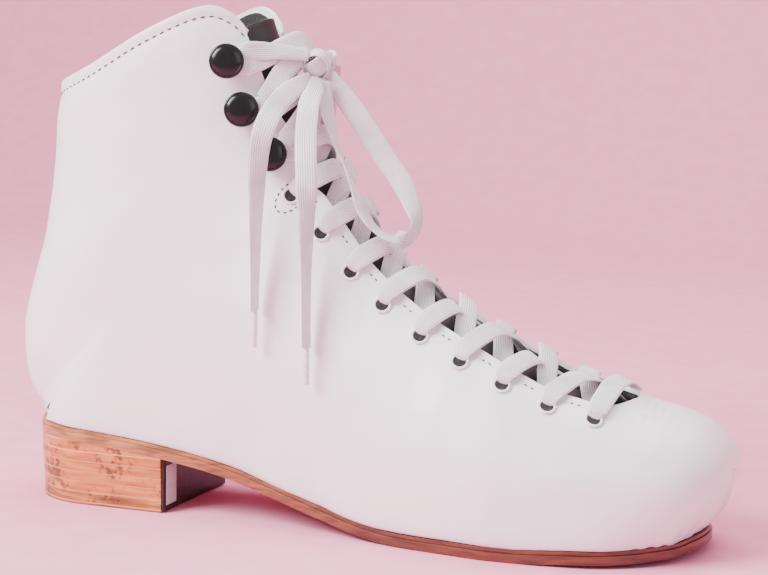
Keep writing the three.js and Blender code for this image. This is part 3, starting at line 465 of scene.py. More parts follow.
# %% Stations and sole outline, in millimetres
stations = np.array([
    # sole x, sole z, instep x, instep z, half width, height of the widest place
    (274.3, 31.0, 274.3, 31.0, 0.0, 0.50), (273.3, 23.0, 273.6, 38.0, 14.0, 0.50),
    (269.5, 14.0, 270.0, 43.0, 24.0, 0.50), (263.0, 8.0, 264.0, 47.5, 32.0, 0.45),
    (253.0, 7.0, 254.5, 51.0, 37.5, 0.42), (240.0, 6.4, 241.5, 54.0, 41.0, 0.40),
    (224.0, 6.0, 229.0, 58.8, 43.2, 0.38), (207.0, 5.0, 214.0, 63.5, 44.0, 0.36),
    (189.0, 5.0, 199.5, 71.0, 43.0, 0.35), (170.0, 5.0, 185.5, 78.5, 40.5, 0.35),
    (150.0, 6.0, 171.5, 86.5, 37.5, 0.36), (129.0, 10.5, 157.5, 96.0, 34.5, 0.38),
    (107.0, 16.5, 145.5, 106.0, 32.5, 0.40), (84.0, 22.5, 136.5, 118.0, 31.5, 0.42),
    (60.0, 26.5, 129.0, 128.5, 31.0, 0.44), (36.0, 29.0, 123.0, 137.5, 30.5, 0.46),
    (14.0, 30.3, 118.5, 145.5, 30.5, 0.47), (0.0, 31.0, 115.0, 153.0, 30.5, 0.48),
    (-9.0, 44.0, 112.0, 160.0, 30.5, 0.48), (-10.5, 63.0, 109.5, 167.0, 30.5, 0.48),
    (-7.0, 80.0, 107.5, 173.0, 30.0, 0.49), (-1.8, 98.0, 105.0, 180.0, 29.5, 0.50),
    (1.6, 117.0, 102.5, 187.0, 29.2, 0.50), (4.2, 139.0, 100.0, 195.0, 29.0, 0.50),
    (6.6, 160.0, 97.5, 204.0, 29.0, 0.50), (9.0, 184.0, 95.0, 214.0, 29.0, 0.50)])
last_station = len(stations) - 1
stand_height = 5.0
toe_edge_station = 3
heel_corner_station = 17
sole_tip_x = 266.5
heel_round = 29.0
toe_round = 44.0
welt_reach = 1.0
sole_outline = np.array([
    # x, centre line, half width
    (-2, 0, 28.5), (28, 0, 28.5), (60, 0, 28.5), (95, -0.5, 27), (130, -1.5, 30),
    (165, -2, 36.5), (195, -1, 41), (215, 1, 42), (235, 3, 41.5), (266.5, 6, 40)])
topline_points = [(-14, 150), (5, 160.5), (31, 170), (55, 183), (76, 192.3), (86, 190.8),
                  (93.4, 182.7), (108, 160)]

# %% From station and place to a point


def catmull(table, u):
    """Smooth interpolation in a table whose rows are one step apart."""
    u = np.clip(u, 0, len(table) - 1)
    i = np.minimum(u.astype(int), len(table) - 2)
    f = (u - i)[..., None]
    a, b, c, d = (table[np.clip(i + k, 0, len(table) - 1)] for k in (-1, 0, 1, 2))
    return 0.5 * (2 * b + (c - a) * f + (2 * a - 5 * b + 4 * c - d) * f ** 2
                  + (3 * b - a - 3 * c + d) * f ** 3)


def station_row(u):
    row = catmull(stations, u)
    row[..., 1] = np.maximum(row[..., 1], stand_height)
    return row


def sole_centre(x):
    return np.interp(x, sole_outline[:, 0], sole_outline[:, 1])


def sole_half_width(x, inset=0.0):
    full = np.interp(x, sole_outline[:, 0], sole_outline[:, 2]) - inset
    back = np.clip((sole_back_x + heel_round - x) / (heel_round - inset), 0, 1)
    front = np.clip((x - sole_tip_x + toe_round) / (toe_round - inset), 0, 1)
    return full * np.sqrt(1 - back ** 2) * np.sqrt(1 - front ** 2.2)


def end_points(u, inset):
    here, before, after = station_row(u), station_row(u - 0.25), station_row(u + 0.25)
    run = after - before
    sole_run = run[..., 0:2] / np.linalg.norm(run[..., 0:2], axis=-1, keepdims=True)
    instep_run = run[..., 2:4] / np.linalg.norm(run[..., 2:4], axis=-1, keepdims=True)
    depth = np.asarray(inset)[..., None]
    sole = here[..., 0:2] + np.stack([sole_run[..., 1], -sole_run[..., 0]], -1) * depth
    instep = here[..., 2:4] + np.stack([-instep_run[..., 1], instep_run[..., 0]], -1) * depth
    tip = np.stack([stations[0, 0] - depth[..., 0] + 0 * u, stations[0, 1] + 0 * u], -1)
    near_tip = np.clip(1 - u, 0, 1)[..., None]
    sole = sole + (tip - sole) * near_tip
    instep = instep + (tip - instep) * near_tip
    return sole, instep, np.maximum(here[..., 4] - inset, 0), here[..., 5], here[..., 0]


def surface(u, v, side, inset=0.0):
    """Points of the boot in pattern millimetres. All arguments broadcast together."""
    u, v, side, inset = np.broadcast_arrays(*(np.asarray(a, float) for a in (u, v, side, inset)))
    sole, instep, half, widest, sole_x = end_points(u, inset)
    fade = np.minimum(np.clip((u - toe_edge_station + 0.4) / 0.8, 0, 1),
                      np.clip((heel_corner_station - u) / 0.5, 0, 1))
    bottom = np.clip((sole_half_width(sole_x, welt_reach) - inset) * fade, 0, half * 0.985)
    centre = sole_centre(sole_x) * np.clip((heel_corner_station - u) / 6, 0, 1)
    low = np.clip(v - 1, 0, 1) * math.pi / 2
    high = np.clip(v - 2, 0, 1) * math.pi / 2
    across = np.where(v <= 1, bottom * v, np.where(
        v <= 2, bottom + (half - bottom) * np.sin(low), half * np.cos(high)))
    up = np.where(v <= 1, 0, np.where(
        v <= 2, widest * (1 - np.cos(low)), widest + (1 - widest) * np.sin(high)))[..., None]
    in_plane = sole + (instep - sole) * up
    return np.stack([in_plane[..., 0], centre + side * across, in_plane[..., 1]], -1)


def outward(u, v, side):
    """Unit normal of the surface, pointing out of the boot."""
    step = 0.02
    along = surface(u + step, v, side) - surface(np.asarray(u) - step, v, side)
    around = surface(u, v + step, side) - surface(u, np.asarray(v) - step, side)
    n = np.cross(around, along) * -np.asarray(side)[..., None]
    return n / np.maximum(np.linalg.norm(n, axis=-1, keepdims=True), 1e-9)


topline_dense = catmull(np.array(topline_points, float), np.linspace(0, 7, 141))
topline_dense = topline_dense[np.argsort(topline_dense[:, 0])]


def topline_station(v, drop=0.0, side=-1):
    """Station at which the line of constant v meets the topline, lowered by drop millimetres."""
    v = np.asarray(v, float)
    low = np.full(v.shape, float(heel_corner_station))
    high = np.full(v.shape, float(last_station))
    for _ in range(26):
        middle = (low + high) / 2
        p = surface(middle, v, side)
        under = p[..., 2] + drop < np.interp(p[..., 0], topline_dense[:, 0], topline_dense[:, 1])
        low, high = np.where(under, middle, low), np.where(under, high, middle)
    return low


print("sole point under the ball:", surface(7.0, 0.0, -1).round(1))

# %% [markdown]
# ## A piece from a grid of points
# Leather, lining and tongue are all sheets on the same surface. A grid of points becomes a skin,
# points that fall together are merged, Solidify gives the sheet its thickness inwards, and a small
# bevel rounds the cut edges as a shoemaker's edge tool does.

# %% Grid pieces
LEVELS = 2


def finish_piece(obj, body, material=None, replaced=()):
    """Puts a piece on its body, gives it its finish when one is given and hides the CAD nodes it
    stands for.
    """
    if material is not None:
        obj.data.materials.clear()
        obj.data.materials.append(material)
    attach(obj, body)
    if replaced:
        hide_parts(*replaced)
    return obj


def apply_modifiers(obj):
    """Turns an object with modifiers into the plain mesh that they make."""
    depsgraph = bpy.context.evaluated_depsgraph_get()
    plain = bpy.data.meshes.new_from_object(obj.evaluated_get(depsgraph))
    obj.modifiers.clear()
    old = obj.data
    obj.data = plain
    bpy.data.meshes.remove(old)
    obj.data.name = obj.name
    return obj


def smooth(obj, sharp_degrees=None):
    obj.data.shade_smooth()
    if sharp_degrees is not None:
        obj.data.set_sharp_from_angle(angle=math.radians(sharp_degrees))
    return obj


def to_frame(points):
    """Pattern millimetres to frame metres, for an array of points."""
    return (np.asarray(points) + pattern_origin) * MM


def new_object(name, vertices, faces):
    mesh = bpy.data.meshes.new(name)
    mesh.from_pydata([tuple(p) for p in vertices], [], faces)
    obj = bpy.data.objects.new(name, mesh)
    bpy.context.scene.collection.objects.link(obj)
    return obj


def tidy(obj, merge_mm=0.02):
    """Merges points that fall together and turns the faces outwards."""
    work = bmesh.new()
    work.from_mesh(obj.data)
    bmesh.ops.remove_doubles(work, verts=work.verts, dist=merge_mm * MM)
    bmesh.ops.dissolve_degenerate(work, edges=work.edges, dist=merge_mm * MM * 0.5)
    bmesh.ops.recalc_face_normals(work, faces=work.faces)
    work.to_mesh(obj.data)
    work.free()
    return obj


def sheet_piece(name, points, keep, thickness, edge_round, grime_and_crease_shade_amount=None, flip=False):
    """A leather sheet from a grid of points in pattern millimetres."""
    rows, columns = points.shape[:2]
    number = np.arange(rows * columns).reshape(rows, columns)
    corners = np.stack([number[:-1, :-1], number[1:, :-1], number[1:, 1:], number[:-1, 1:]], -1)
    faces = corners[keep]
    if flip:
        faces = faces[:, ::-1]
    obj = new_object(name, to_frame(points.reshape(-1, 3)), faces.tolist())
    # The grime and painted crease shade of the leather goes onto the points as an attribute.
    if grime_and_crease_shade_amount is not None:
        layer = obj.data.attributes.new("wear", "FLOAT", "POINT")
        layer.data.foreach_set("value", grime_and_crease_shade_amount.reshape(-1).astype(np.float32))
    work = bmesh.new()
    work.from_mesh(obj.data)
    bmesh.ops.remove_doubles(work, verts=work.verts, dist=0.03 * MM)
    bmesh.ops.delete(work, geom=[v for v in work.verts if not v.link_faces], context="VERTS")
    work.to_mesh(obj.data)
    work.free()
    wall = obj.modifiers.new("thickness", "SOLIDIFY")
    wall.thickness = thickness * MM
    wall.offset = -1
    wall.use_even_offset = False
    if edge_round:
        bevel = obj.modifiers.new("edge", "BEVEL")
        bevel.width = edge_round * MM
        bevel.segments = LEVELS
        bevel.limit_method = "ANGLE"
        bevel.angle_limit = math.radians(55)
    return smooth(apply_modifiers(obj))


def run_length(points, axis, backwards):
    """Distance in millimetres along a grid's rows or columns, from their start or their end."""
    ordered = np.flip(points, axis) if backwards else points
    steps = np.linalg.norm(np.diff(ordered, axis=axis), axis=-1)
    pad = [(0, 0), (0, 0)]
    pad[axis] = (1, 0)
    length = np.cumsum(np.pad(steps, pad), axis=axis)
    return np.flip(length, axis) if backwards else length


def bell(distance, centre, width):
    return np.exp(-((distance - centre) / width) ** 2)


# %% [markdown]
# ## The upper
# The boot's upper is cut in one piece and pulled over the last, so it has no toe seam. What shows
# is the slit for the lace with its rounded throat, the ear at the ankle where the facing steps
# back, a rolled topline with a stitched groove, fine pleats where the leather was lasted under the
# toe, and wrinkles where the vamp bends at the throat. The grid's points are moved along their
# normals for these, so they are real relief that catches the light.

# %% Edge of the facings
throat_station = 5.3
ear_station = 14.2
eyelet_line = 2.55
low_facing_edge = 2.69
high_facing_edge = 2.715
facing_lean = 0.022
ear_notch = 2.665
facing_rows = [5.3, 6.36, 7.46, 8.55, 9.65, 10.72, 11.77, 12.85, 14.2, 15.8]
eyelet_stations = [(a + b) / 2 for a, b in zip(facing_rows, facing_rows[1:])]
hook_stations = [16.8, 19.3, 21.65]
hook_line = 2.57


def lean(u):
    """How far the facings and the hooks lean back above the lowest hook."""
    return facing_lean * np.maximum(0, np.asarray(u, float) - hook_stations[0])


def hole_line(u):
    """Place round the section of an eyelet or a hook."""
    return np.where(np.asarray(u) < hook_stations[0], eyelet_line, hook_line - lean(u))


def facing_edge(u):
    """Edge of the facings: a rounded throat, a straight edge, the ear, then the hook facing."""
    u = np.asarray(u, float)
    into_throat = np.clip((throat_station + 0.75 - u) / 0.85, 0, 1)
    edge = low_facing_edge + (3 - low_facing_edge) * (1 - np.sqrt(1 - into_throat ** 2))
    drop = np.clip((u - ear_station + 0.1) / 0.75, 0, 1)
    edge = edge + (ear_notch - low_facing_edge) * drop ** 2 * (3 - 2 * drop)
    back = np.clip((u - ear_station - 0.8) / 2.2, 0, 1)
    return edge + (high_facing_edge - ear_notch) * back ** 2 * (3 - 2 * back) - lean(u)


# %% Upper
upper_wall = 1.8
upper_rows_foot = np.concatenate([np.arange(0, 1, 0.05), np.arange(1, 6.2, 0.065),
                                  np.arange(6.2, heel_corner_station, 0.1)])
shaft_share = np.linspace(0, 1, 64) ** 0.9
margin_place = 0.72
half_columns = np.concatenate([[0, 0.36, margin_place, 0.86], np.linspace(1, 2, 19),
                               2 + np.linspace(0, 1, 25)[1:]])


def boot_grid(columns, inset, drop, edge_gap):
    """Stations, places and sides of a grid from the outer facing edge round to the inner one."""
    shares = np.concatenate([-columns[::-1], columns[1:]])
    side = np.where(shares < 0, -1.0, 1.0)
    share = np.abs(shares)
    foot = np.repeat(upper_rows_foot[:, None], len(shares), 1)

    def places(u):
        limit = facing_edge(u) - edge_gap * (u > throat_station - 0.4)
        return np.where(share <= 2, share, 2 + (share - 2) * (limit - 2))

    top = np.full(len(shares), 21.0)
    for _ in range(3):
        top = topline_station(places(top), drop, side)
    shaft = heel_corner_station + (top - heel_corner_station)[None, :] * shaft_share[:, None]
    u = np.concatenate([foot, shaft])
    v = np.stack([places(row) for row in u])
    return u, v, np.broadcast_to(side, u.shape), surface(u, v, side, inset)


u, v, side, points = boot_grid(half_columns, 0.0, 0.0, 0.0)
from_top = run_length(points, 0, True)
from_top[u < heel_corner_station - 3] = 99
outer_edge = run_length(points, 1, False)
inner_edge = run_length(points, 1, True)
from_edge = np.where(side < 0, outer_edge, inner_edge)
from_edge[u < throat_station] = 99
x, y = points[..., 0], points[..., 1]
round_toe = np.arctan2(y - 3, x - 222)
pleats = np.sin(round_toe * 34 + 1.5 * np.sin(round_toe * 9)) * bell(v, 1.14, 0.13) * (u < 4.5)
pleats = pleats * np.clip((x - 232) / 14, 0, 1)
long_creases = (bell(round_toe, -0.35, 0.05) + bell(round_toe, -0.52, 0.045)
                + bell(round_toe, 0.45, 0.05)) * bell(v, 1.3, 0.22) * (u < 4.5)
vamp_wrinkles = np.sin(x * math.tau / 3.4 + np.sin(y * 0.35) * 1.6) * bell(x, 246, 6.5)
vamp_wrinkles = vamp_wrinkles * bell(y, 0, 13) * (v > 2)
flat = points.reshape(-1, 3)
swell = np.array([noise.fractal(Vector(p) / 38.0, 0.8, 2.2, 3) for p in flat]).reshape(u.shape)
ankle_folds = np.sin((points[..., 2] * 0.9 - x * 0.45) * math.tau / 26) * bell(x, 96, 17)
ankle_folds = ankle_folds * bell(points[..., 2], 118, 22) * (v > 1.6) * (v < 2.72)
relief = (0.30 * bell(from_top, 1.6, 1.5) - 0.42 * bell(from_top, 4.2, 0.75)
          + 0.55 * bell(from_top, 13, 7) + 0.22 * bell(from_edge, 1.3, 1.2)
          - 0.34 * bell(from_edge, 3.4, 0.7) + 0.30 * pleats - 0.6 * long_creases
          + 0.22 * vamp_wrinkles + 0.5 * swell + 0.35 * ankle_folds)
relief = relief * np.clip((v - 0.9) / 0.15, 0, 1)
lifted = points + outward(np.clip(u, 0.03, None), np.clip(v, 0.03, 2.97), side) * relief[..., None]
tip_rows = u < 0.04
lifted[tip_rows] = points[tip_rows]
closed = np.abs(v - 3) < 1e-6
lifted[closed, 1] = points[closed, 1]
# Grime and painted shade, as a map: darker in the lasting pleats, creases and wrinkles, in the
# stitched grooves and along the joint with the welt.
grime_and_crease_shade_map = (0.30 * bell(v, 1.0, 0.12) + 0.25 * np.abs(pleats) + 0.3 * long_creases
            + 0.12 * np.abs(vamp_wrinkles) + 0.10 * bell(from_top, 4.2, 0.9)
            + 0.10 * bell(from_edge, 3.4, 0.8))
hollow = (np.abs(v) < margin_place - 0.01) & (u >= toe_edge_station) & (u < heel_corner_station)
keep = ~(hollow[:-1, :-1] | hollow[:-1, 1:])
# The rule folds where the heel seat turns up into the back, so the leather is eased outwards there.
easing_rounds = 70
heel_fill = 0.9 * bell(u, heel_corner_station, 1.0) * np.clip((v - 1.1) / 0.25, 0, 1)
eased = lifted.copy()
for _ in range(easing_rounds):
    between = (eased[:-2] + eased[2:]) / 2
    eased[1:-1] += (between - eased[1:-1]) * heel_fill[1:-1, :, None]
out_ways = outward(np.clip(u, 0.03, None), np.clip(v, 0.03, 2.97), side)
lifted += out_ways * np.maximum(np.sum((eased - lifted) * out_ways, axis=-1, keepdims=True), 0)
upper = sheet_piece("leather_upper", lifted, keep, upper_wall, 0.5, grime_and_crease_shade_map)
finish_piece(upper, "boot", white_leather, ["upper"])
print("upper faces:", len(upper.data.polygons))

# %% [markdown]
# ## Linings and stiffeners
# Inside the upper lie a black woven quarter lining on each side and an undyed leather vamp lining.
# Between them and the upper are the toe puff, the heel counter and two thin ankle pads. They are
# the same surface, moved inwards, so they are sheets from the same rule.

# %% Linings, pads, puff and counter
stiffener_depth = 2.1
lining_depth = 3.3
lining_skiving = (0.45, 1.35)


def clear_of_footbed(u):
    """Place at which a lining stands clear of the insole board and the footbed."""
    return 1.28 - 0.28 * np.clip((u - 15.5) / 1.5, 0, 1)


def at_heel_corner(u, v, reach, place_limit):
    """Where a stiff layer is skived to nothing, so it can turn the heel's tight corner."""
    return (np.abs(u - heel_corner_station) < reach) & (v < place_limit)


def patch(name, stations_range, places_range, side, inset, thickness, edge_round, flip,
          rows=90, columns=40, skived=None):
    """A sheet over a range of stations and places on one side, or on both when side is 0."""
    u = np.linspace(*stations_range, rows)[:, None]
    share = np.linspace(0, 1, columns)
    if side == 0:
        share = np.linspace(-1, 1, 2 * columns - 1)
    sides = np.where(share < 0, -1.0, 1.0) if side == 0 else np.full(columns, float(side))
    low = places_range[0](u) if callable(places_range[0]) else places_range[0]
    high = places_range[1](u) if callable(places_range[1]) else places_range[1]
    v = low + (high - low) * np.abs(share)[None, :] + 0 * u
    grid = surface(u, v, sides[None, :], inset(u) if callable(inset) else inset)
    present = (u >= heel_corner_station) | (v > clear_of_footbed(u) - 0.001)
    if skived is not None:
        present = present & ~at_heel_corner(u, v, *skived)
    keep = present[:-1, :-1] & present[:-1, 1:]
    return sheet_piece(name, grid, keep, thickness, edge_round, None, flip)


for side_name, side in (("lateral", -1), ("medial", 1)):
    shares = np.concatenate([np.linspace(1, 2, 14), 2 + np.linspace(0, 1, 16)[1:]])
    foot = upper_rows_foot[upper_rows_foot > throat_station + 0.15][::2]
    u_foot = np.repeat(foot[:, None], len(shares), 1)

    def lining_places(u):
        low = clear_of_footbed(u)
        high = facing_edge(u) - 0.012
        return np.where(shares <= 2, low + (shares - 1) * (2 - low),
                        2 + (shares - 2) * (high - 2))

    def shaft_places(u):
        return np.where(shares <= 2, (shares - 1) * 2, lining_places(u))

    top = np.full(len(shares), 21.0)
    for _ in range(3):
        top = topline_station(shaft_places(top), 0.7, side)
    u_shaft = heel_corner_station + (top - heel_corner_station) * shaft_share[::2, None]
    u = np.concatenate([u_foot, u_shaft])
    v = np.stack([lining_places(row) for row in u_foot] + [shaft_places(row) for row in u_shaft])
    points = surface(u, v, float(side), lining_depth)
    present = ~at_heel_corner(u, v, *lining_skiving)
    keep = present[:-1, :-1] & present[:-1, 1:]
    lining = sheet_piece(f"lining_{side_name}", points, keep, 1.0, 0.25, None, side > 0)
    finish_piece(lining, "boot", black_lining, [f"quarter_lining_{side_name}"])
    pad = patch(f"ankle_padding_{side_name}", (18.2, 23.3), (0.45, 2.05), side, stiffener_depth,
                0.9, 0.2, side > 0, 40, 24)
    finish_piece(pad, "boot", open_foam, [f"ankle_pad_{side_name}"])

vamp_lining = patch("lining_vamp", (0.05, throat_station - 0.1), (3.0, clear_of_footbed), 0,
                    lining_depth, 1.0, 0.2, False, 60, 40)
finish_piece(vamp_lining, "boot", natural_leather, ["vamp_lining"])
toe_puff = patch("stiffened_toe_puff", (0.05, 3.6), (3.0, clear_of_footbed), 0, stiffener_depth,
                 0.9, 0.2, False, 50, 40)
finish_piece(toe_puff, "boot", pressed_board, ["toe_puff"])
counter_skiving = (1.0, 1.55)
counter = patch("moulded_heel_counter", (13.8, 19.9), (0.0, 1.92), 0, stiffener_depth, 0.9, 0.2,
                True, 90, 40, counter_skiving)
finish_piece(counter, "boot", pressed_board, ["heel_counter"])
print("linings and stiffeners:", lining.name, vamp_lining.name, toe_puff.name, counter.name)

# %% [markdown]
# ## The tongue
# The tongue hangs from the throat, under the facings. Soft black leather and the lining are sewn
# together round a foam pad, so at its edges the two curve towards each other.

# %% Tongue
tongue_depth = 8.7
tongue_base = 4.9
foam_thickness = 3.6


def tongue_sheet(name, inset_middle, inset_edge, thickness, trim, edge_round, rows=110):
    top = float(topline_station(np.array(2.62), -2.0))
    u = np.linspace(tongue_base + trim, top - trim, rows)[:, None]
    share = np.linspace(-1, 1, 49)
    reach_low, reach_high = 0.48, 0.72
    widening = np.clip((u - 5) / 3, 0, 1)
    reach = reach_low + (reach_high - reach_low) * widening * widening * (3 - 2 * widening)
    corner = np.clip((u - top + trim + 1.1) / 1.1, 0, 1)
    reach = reach * np.sqrt(1 - 0.75 * corner ** 2) * (1 - 0.02 * trim)
    v = 3 - np.abs(share)[None, :] * reach
    sides = np.where(share < 0, -1.0, 1.0)[None, :]
    inset = inset_middle + (inset_edge - inset_middle) * np.abs(share)[None, :] ** 5 + 0 * u
    grid = surface(u, v, sides, inset)
    ripple = 0.5 * np.sin(u * math.tau / 2.3) * (1 - share ** 2)[None, :]
    grid[..., 2] += ripple
    keep = np.ones((rows - 1, len(share) - 1), bool)
    return sheet_piece(name, grid, keep, thickness, edge_round)


def on_tongue(obj, material, node):
    obj.data.materials.clear()
    obj.data.materials.append(material)
    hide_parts(node)
    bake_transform(obj)
    return obj


cover = tongue_sheet("tongue_cover", tongue_depth, tongue_depth + 2.0, 1.4, 0.0, 0.4)
on_tongue(cover, black_leather, "tongue_leather")
pad = tongue_sheet("tongue_foam", tongue_depth + 1.7, tongue_depth + 3.3, foam_thickness - 1.2,
                   0.25, 0.6)
on_tongue(pad, open_foam, "tongue_padding")
back = tongue_sheet("tongue_back", tongue_depth + 5.6, tongue_depth + 4.2, 1.0, 0.0, 0.3)
on_tongue(back, black_lining, "tongue_lining")

# %% [markdown]
# ## The bottom
# The outsole and the welt follow the sole line, flat under the ball, up over the waist and under
# the heel. Each is cut from one thickness of leather, so each is a slab with the sole's outline.
# The heel is built up from level lifts on a top piece, with a wedge lift that meets the sole.

# %% Slabs
line_u = np.linspace(toe_edge_station, heel_corner_station, 400)
line_rows = station_row(line_u)
line_x = np.concatenate([line_rows[::-1, 0], [sole_tip_x]])
line_z = np.concatenate([line_rows[::-1, 1], [stand_height + 3.6]])


def sole_line(x):
    return np.interp(x, line_x, line_z)


def slab_piece(name, start, stop, inset, top, bottom, edge_round, material, node):
    """A leather slab with the sole's outline. top and bottom give heights at x."""
    start = max(start, sole_back_x + inset)
    stop = min(stop, sole_tip_x - inset)
    ends = [sole_back_x + inset + (heel_round - inset) * (1 - np.cos(a))
            for a in np.linspace(0, math.pi / 2, 28)]
    ends += [sole_tip_x - inset - (toe_round - inset) * (1 - np.cos(a))
             for a in np.linspace(0, math.pi / 2, 28)]
    even = np.linspace(start, stop, 90)
    x = np.unique(np.clip(np.concatenate([ends, even]), start, stop).round(3))
    half, middle = sole_half_width(x, inset), sole_centre(x)
    rings = []
    for side, height in ((-1, bottom), (1, bottom), (1, top), (-1, top)):
        rings.append(np.stack([x, middle + side * half, height(x)], -1))
    count = len(x)
    points = np.concatenate(rings)
    faces = []
    for k in range(4):
        following = (k + 1) % 4
        for i in range(count - 1):
            faces.append((k * count + i, following * count + i, following * count + i + 1,
                          k * count + i + 1))
    faces.append([k * count for k in (3, 2, 1, 0)])
    faces.append([k * count + count - 1 for k in range(4)])
    obj = tidy(new_object(name, to_frame(points), faces))
    bevel = obj.modifiers.new("edge", "BEVEL")
    bevel.width = edge_round * MM
    bevel.segments = LEVELS + 1
    bevel.limit_method = "ANGLE"
    bevel.angle_limit = math.radians(50)
    smooth(apply_modifiers(obj), 40)
    return finish_piece(obj, "boot", material, [node])


def above(height):
    return lambda x: sole_line(x) + height


def level(height):
    return lambda x: height + 0 * x


# %% Outsole, welt, insole board and footbed
outsole = slab_piece("cut_outsole", -9, 999, 0.0, above(-1.7), above(-4.95), 0.7,
                     sole_leather, "outsole")
welt = slab_piece("dark_welt", -9, 999, 0.55, above(-0.2), above(-1.6), 0.35, sole_leather,
                  "welt")
insole = slab_piece("lasted_insole", -9, 999, 4.4, above(4.6), above(2.4), 0.3,
                    pressed_board, "insole_board")
bed = slab_piece("soft_footbed", -9, 999, 7.4, above(6.9), above(4.9), 0.5,
                 natural_leather, "footbed")
print("sole pieces:", outsole.name, welt.name, insole.name, bed.name)

# %% Heel
heel_breast_x = 62.0
top_piece_top = 5.0
lift_height = 4.0
slab_piece("worn_top_piece", -9, heel_breast_x, 1.0, level(top_piece_top - 0.1), level(0.0), 0.5,
           heel_rubber, "top_piece")
for k in range(3):
    foot_of_lift = top_piece_top + k * lift_height
    slab_piece(f"stacked_lift_{k + 1}", -9, heel_breast_x, 0.9 - 0.2 * k,
               level(foot_of_lift + lift_height - 0.08), level(foot_of_lift), 0.28,
               heel_leather, f"heel_lift_{k + 1}")
slab_piece("wedge_lift", -9, heel_breast_x, 0.2, above(-5.0),
           level(top_piece_top + 3 * lift_height), 0.28,
           heel_leather, "heel_lift_4")
breast_top = float(sole_line(heel_breast_x + 2)) - 5.2


def curved_sheet(name, x, half_width, low, high, thickness, edge_round, centre_y=0.0):
    """An upright sheet across the heel breast, a little hollow as the breast of a heel is."""
    y = np.linspace(-half_width, half_width, 25)
    z = np.linspace(low, high, 9)
    grid = np.array([[(x - 0.25 * (1 - (b + centre_y) ** 2 / 28 ** 2), b + centre_y, c)
                      for b in y] for c in z])
    keep = np.ones((len(z) - 1, len(y) - 1), bool)
    return sheet_piece(name, grid, keep, thickness, edge_round, flip=True)


breast = curved_sheet("breast_leather", heel_breast_x + 1.2, 27.4, 0.5, breast_top, 0.85, 0.25)
finish_piece(breast, "boot", breast_leather, ["breast_cover"])
label = curved_sheet("blank_label", heel_breast_x + 1.42, 4.4, 2.8, breast_top - 2.6, 0.12, 0.05,
                     -21.2)
finish_piece(label, "boot", label_paper, ["size_label"])
print("heel height, mm:", round(float(sole_line(30.0)) - 5, 1))

# %% [markdown]
# ## Fillers, shank and screw
# These lie sealed inside the bottom. Their CAD solids already have the right shape, so they are
# kept and only take a real finish.

# %% Finishes of the inner pieces
for node, material in (("heel_filler", pressed_board), ("cork_filler", ground_cork),
                       ("shank", plain_steel), ("heel_screw", plain_steel)):
    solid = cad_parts[node]
    solid.data.materials.clear()
    solid.data.materials.append(material)
print("inner pieces finished")

# %% [markdown]
# ## Eyelets and hooks
# The same eyelet is set nine times on each side, and the same hook three times, each square to the
# leather. That is work for Geometry Nodes: a few points carry the direction out of the leather,
# and one turned profile is placed on every point. The tree ends in Realize Instances and Set
# Material, so the result is one plain mesh.

# %% A turned profile


def turned(name, profile, segments, closed=False):
    """Spins a profile of (radius, height) in millimetres round the z axis."""
    count = len(profile)
    points = [(r * math.cos(a) * MM, r * math.sin(a) * MM, z * MM)
              for a in np.linspace(0, math.tau, segments, endpoint=False) for r, z in profile]
    faces = []
    for s in range(segments):
        following = (s + 1) % segments
        for k in range(count if closed else count - 1):
            faces.append((s * count + k, following * count + k,
                          following * count + (k + 1) % count, s * count + (k + 1) % count))
    return smooth(tidy(new_object(name, points, faces), 0.001), 42)


# %% A tree that sets one piece on many points


def setting_tree(name, material, along_line=False):
    """One piece on each point, upright on out_way and, when asked, turned along along_way."""
    tree = bpy.data.node_groups.new(name, "GeometryNodeTree")
    for socket, kind in (("Geometry", "Geometry"), ("Piece", "Object"), ("Size", "Float")):
        tree.interface.new_socket(socket, in_out="INPUT", socket_type="NodeSocket" + kind)
    tree.interface.new_socket("Geometry", in_out="OUTPUT", socket_type="NodeSocketGeometry")
    given = tree.nodes.new("NodeGroupInput")

    def way(attribute):
        node = add(tree, "GeometryNodeInputNamedAttribute", data_type="FLOAT_VECTOR")
        node.inputs["Name"].default_value = attribute
        return node.outputs["Attribute"]

    stance = add(tree, "FunctionNodeAlignRotationToVector", {"Vector": way("out_way")}, axis="Z")
    if along_line:
        stance = add(tree, "FunctionNodeAlignRotationToVector",
                     {"Rotation": stance.outputs["Rotation"], "Vector": way("along_way")},
                     axis="X", pivot_axis="Z")
    piece = add(tree, "GeometryNodeObjectInfo", {"Object": given.outputs["Piece"]})
    placed = add(tree, "GeometryNodeInstanceOnPoints",
                 {"Points": given.outputs["Geometry"], "Instance": piece.outputs["Geometry"],
                  "Rotation": stance.outputs["Rotation"], "Scale": given.outputs["Size"]})
    real = add(tree, "GeometryNodeRealizeInstances", {"Geometry": placed.outputs["Instances"]})
    coat = add(tree, "GeometryNodeSetMaterial", {"Geometry": real.outputs["Geometry"]})
    coat.inputs["Material"].default_value = material
    result = tree.nodes.new("NodeGroupOutput")
    tree.links.new(coat.outputs["Geometry"], result.inputs["Geometry"])
    return tree


def grow(obj, tree, **values):
    """Runs a tree on an object and keeps the plain mesh. Inputs are set by socket identifier."""
    modifier = obj.modifiers.new("setting", "NODES")
    modifier.node_group = tree
    for item in tree.interface.items_tree:
        key = item.name.replace(" ", "_").lower()
        if item.in_out == "INPUT" and key in values:
            modifier[item.identifier] = values[key]
    return apply_modifiers(obj)


def marked_points(name, points, out_ways):
    """Loose points that carry the direction out of the leather."""
    obj = new_object(name, to_frame(points), [])
    layer = obj.data.attributes.new("out_way", "FLOAT_VECTOR", "POINT")
    layer.data.foreach_set("vector", np.asarray(out_ways, np.float32).reshape(-1))
    return obj


# %% Set the eyelets and hooks
side_names = {-1: "lateral", 1: "medial"}
leather_skin = BVHTree.FromObject(upper, bpy.context.evaluated_depsgraph_get())


